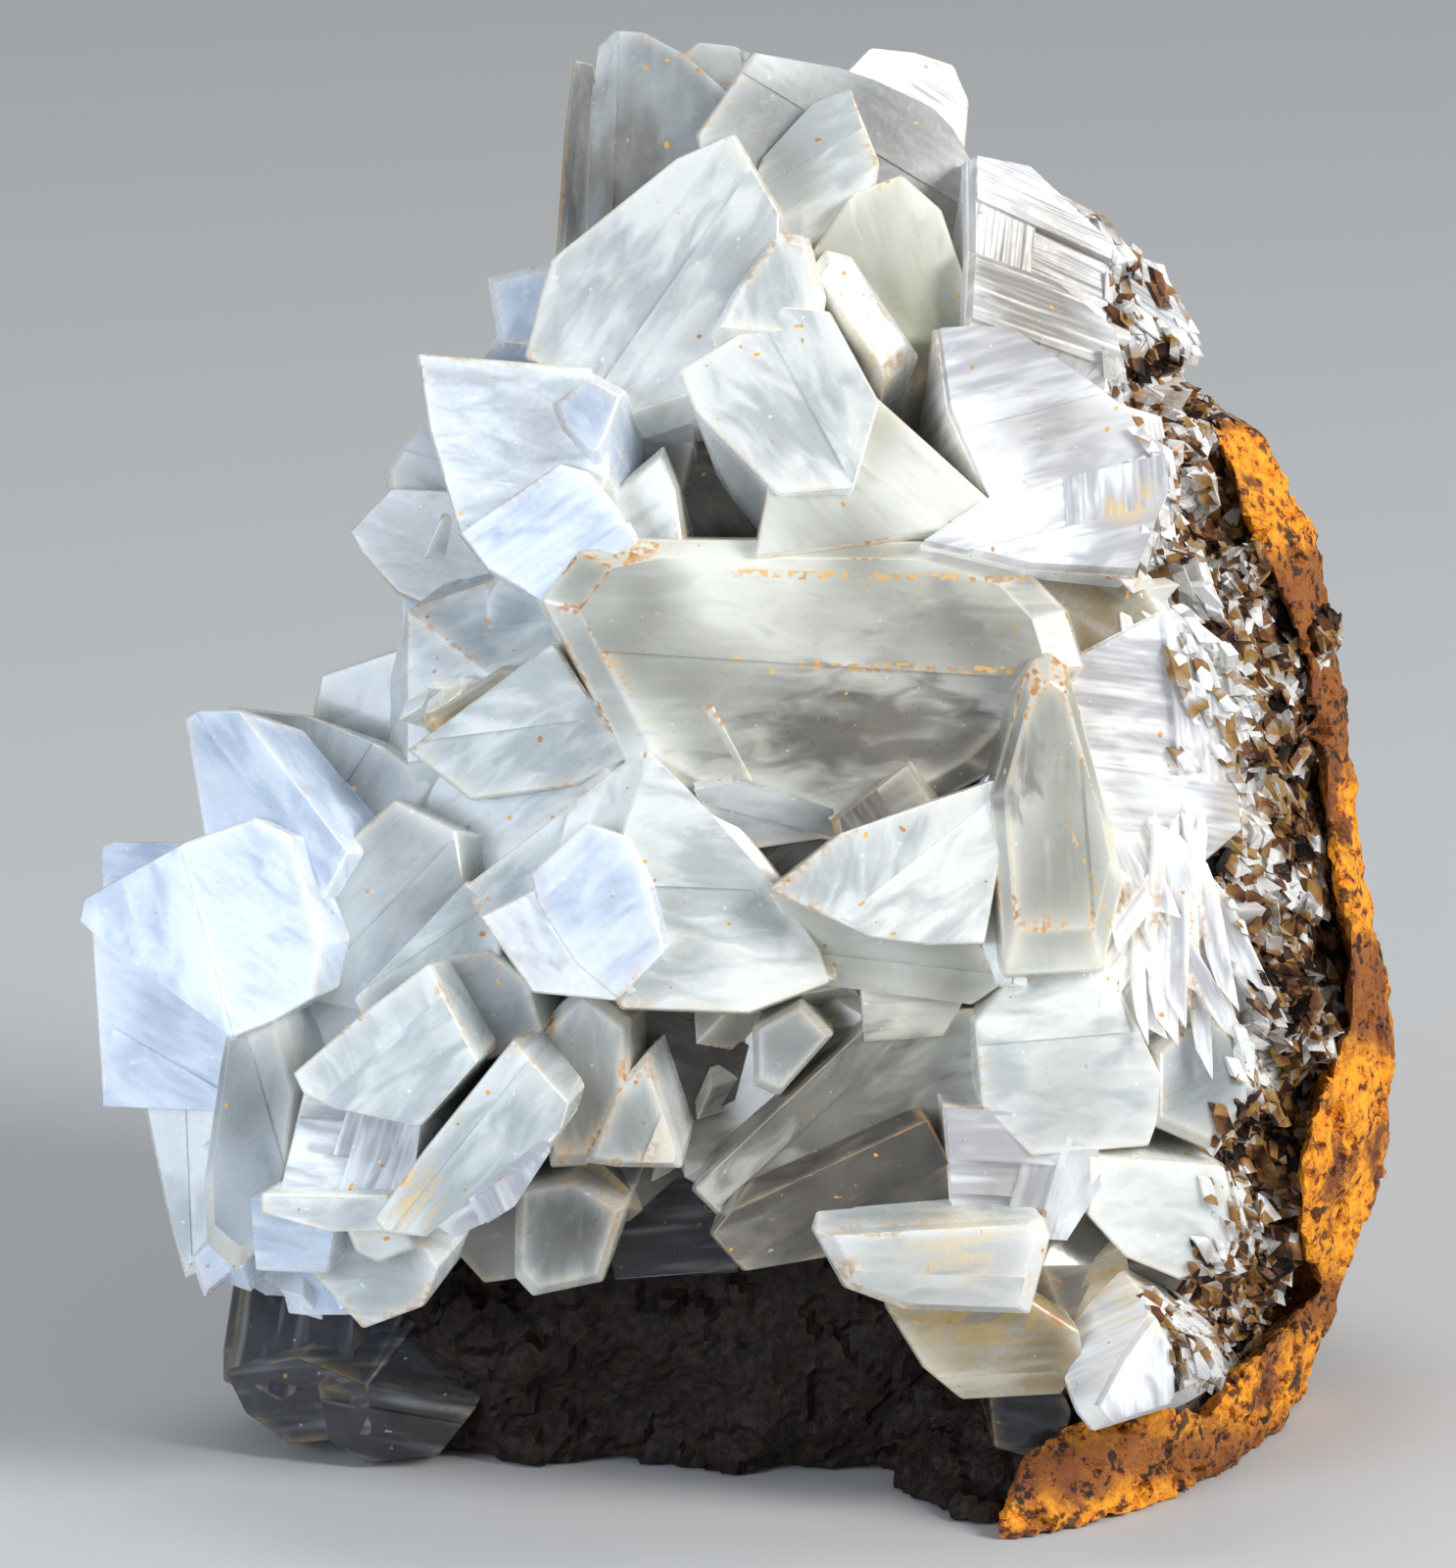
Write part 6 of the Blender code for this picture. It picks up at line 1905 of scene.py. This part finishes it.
def main() -> None:
    """Builds the specimen piece by piece."""
    logging.basicConfig(level=logging.INFO, format="%(name)s: %(message)s")
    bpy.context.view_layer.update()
    group = CrystalGroup()
    calcite = group.build()
    log.info("%s: %d faces", calcite.name, len(calcite.data.polygons))
    rock = WeatheredRock("ironstone_matrix", "vein_rock", "ironstone").build(RockFinish().material())
    log.info("%s: %d faces", rock.name, len(rock.data.polygons))
    crust = WeatheredRock(
        "limonite_crust", "limonite_rind", "limonite", lump_size=0.005, lump_height=0.0009, chip_size=0.0016,
        chip_height=0.0006, pit_depth=0.0014,
    ).build(CrustFinish().material())
    log.info("%s: %d faces", crust.name, len(crust.data.polygons))

    def on_shown_rock(face: bpy.types.MeshPolygon) -> bool:
        """Whether a face of the rock shows on the right of the crystals."""
        spot = on_face(face.center)
        shown = all(part > least for part, least in zip(spot, SHOWN_FROM)) and face.center.z > LOWEST_BIT
        return shown and (face.normal.x > SHOWN_TILT or face.normal.y < -SHOWN_TILT)

    def on_white_rim(face: bpy.types.MeshPolygon) -> bool:
        """Whether a face of the calcite lies where the white calcite meets the rock."""
        spot = on_face(face.center)
        slope = RIM_SLOPE_ABOVE if spot.y > RIM_TURN[1] else RIM_SLOPE_BELOW
        at_rim = spot.x > RIM_TURN[0] - abs(spot.y - RIM_TURN[1]) * slope
        return at_rim and face.normal.y < 0.3 and face.center.z > LOWEST_BIT

    def in_brown_patch(face: bpy.types.MeshPolygon) -> bool:
        """Whether a face lies where the rock, and not white calcite, breaks through."""
        return noise.noise(on_face(face.center) * PATCH_GRAIN) > PATCH_START

    chips = RockFinish("rock_chips", 1.6, 0.02).material()
    flakes = RockFinish("mica_flakes", 1.4, 0.1).material()
    pale_chips = RockFinish("pale_chips", 1.6, 0.3).material()
    down = (0.4, -0.2, -0.9)
    strewn = (
        (Scatter("rock_chips", "ironstone", 420000, (0.8, 2.6), (1, 0.6, 0.45), 9, down, 0.35), rock,
         on_shown_rock, chips),
        (Scatter("mica_flakes", "ironstone", 300000, (0.8, 2.4), (1, 0.7, 0.3), 4, down, 0.5), rock,
         on_shown_rock, flakes),
        (Scatter("white_chips", "calcite", 420000, (0.6, 2.2), (1, 0.6, 0.45), 14, down, 0.4), rock,
         lambda face: on_shown_rock(face) and not in_brown_patch(face), pale_chips),
        (Scatter("border_chips", "calcite", 300000, (0.8, 3.0), (1, 0.42, 0.36), 21, down, 0.2), calcite,
         on_white_rim, pale_chips),
        (Scatter("border_flakes", "ironstone", 420000, (0.6, 2.0), (1, 0.4, 0.3), 33, down, 0.25), calcite,
         lambda face: on_white_rim(face) and in_brown_patch(face), flakes),
    )
    for scatter, ground, chosen, material in strewn:
        piece = scatter.build(ground, chosen, material)
        log.info("%s: %d faces", piece.name, len(piece.data.polygons))

    Studio().build()


if __name__ == "__main__":
    main()
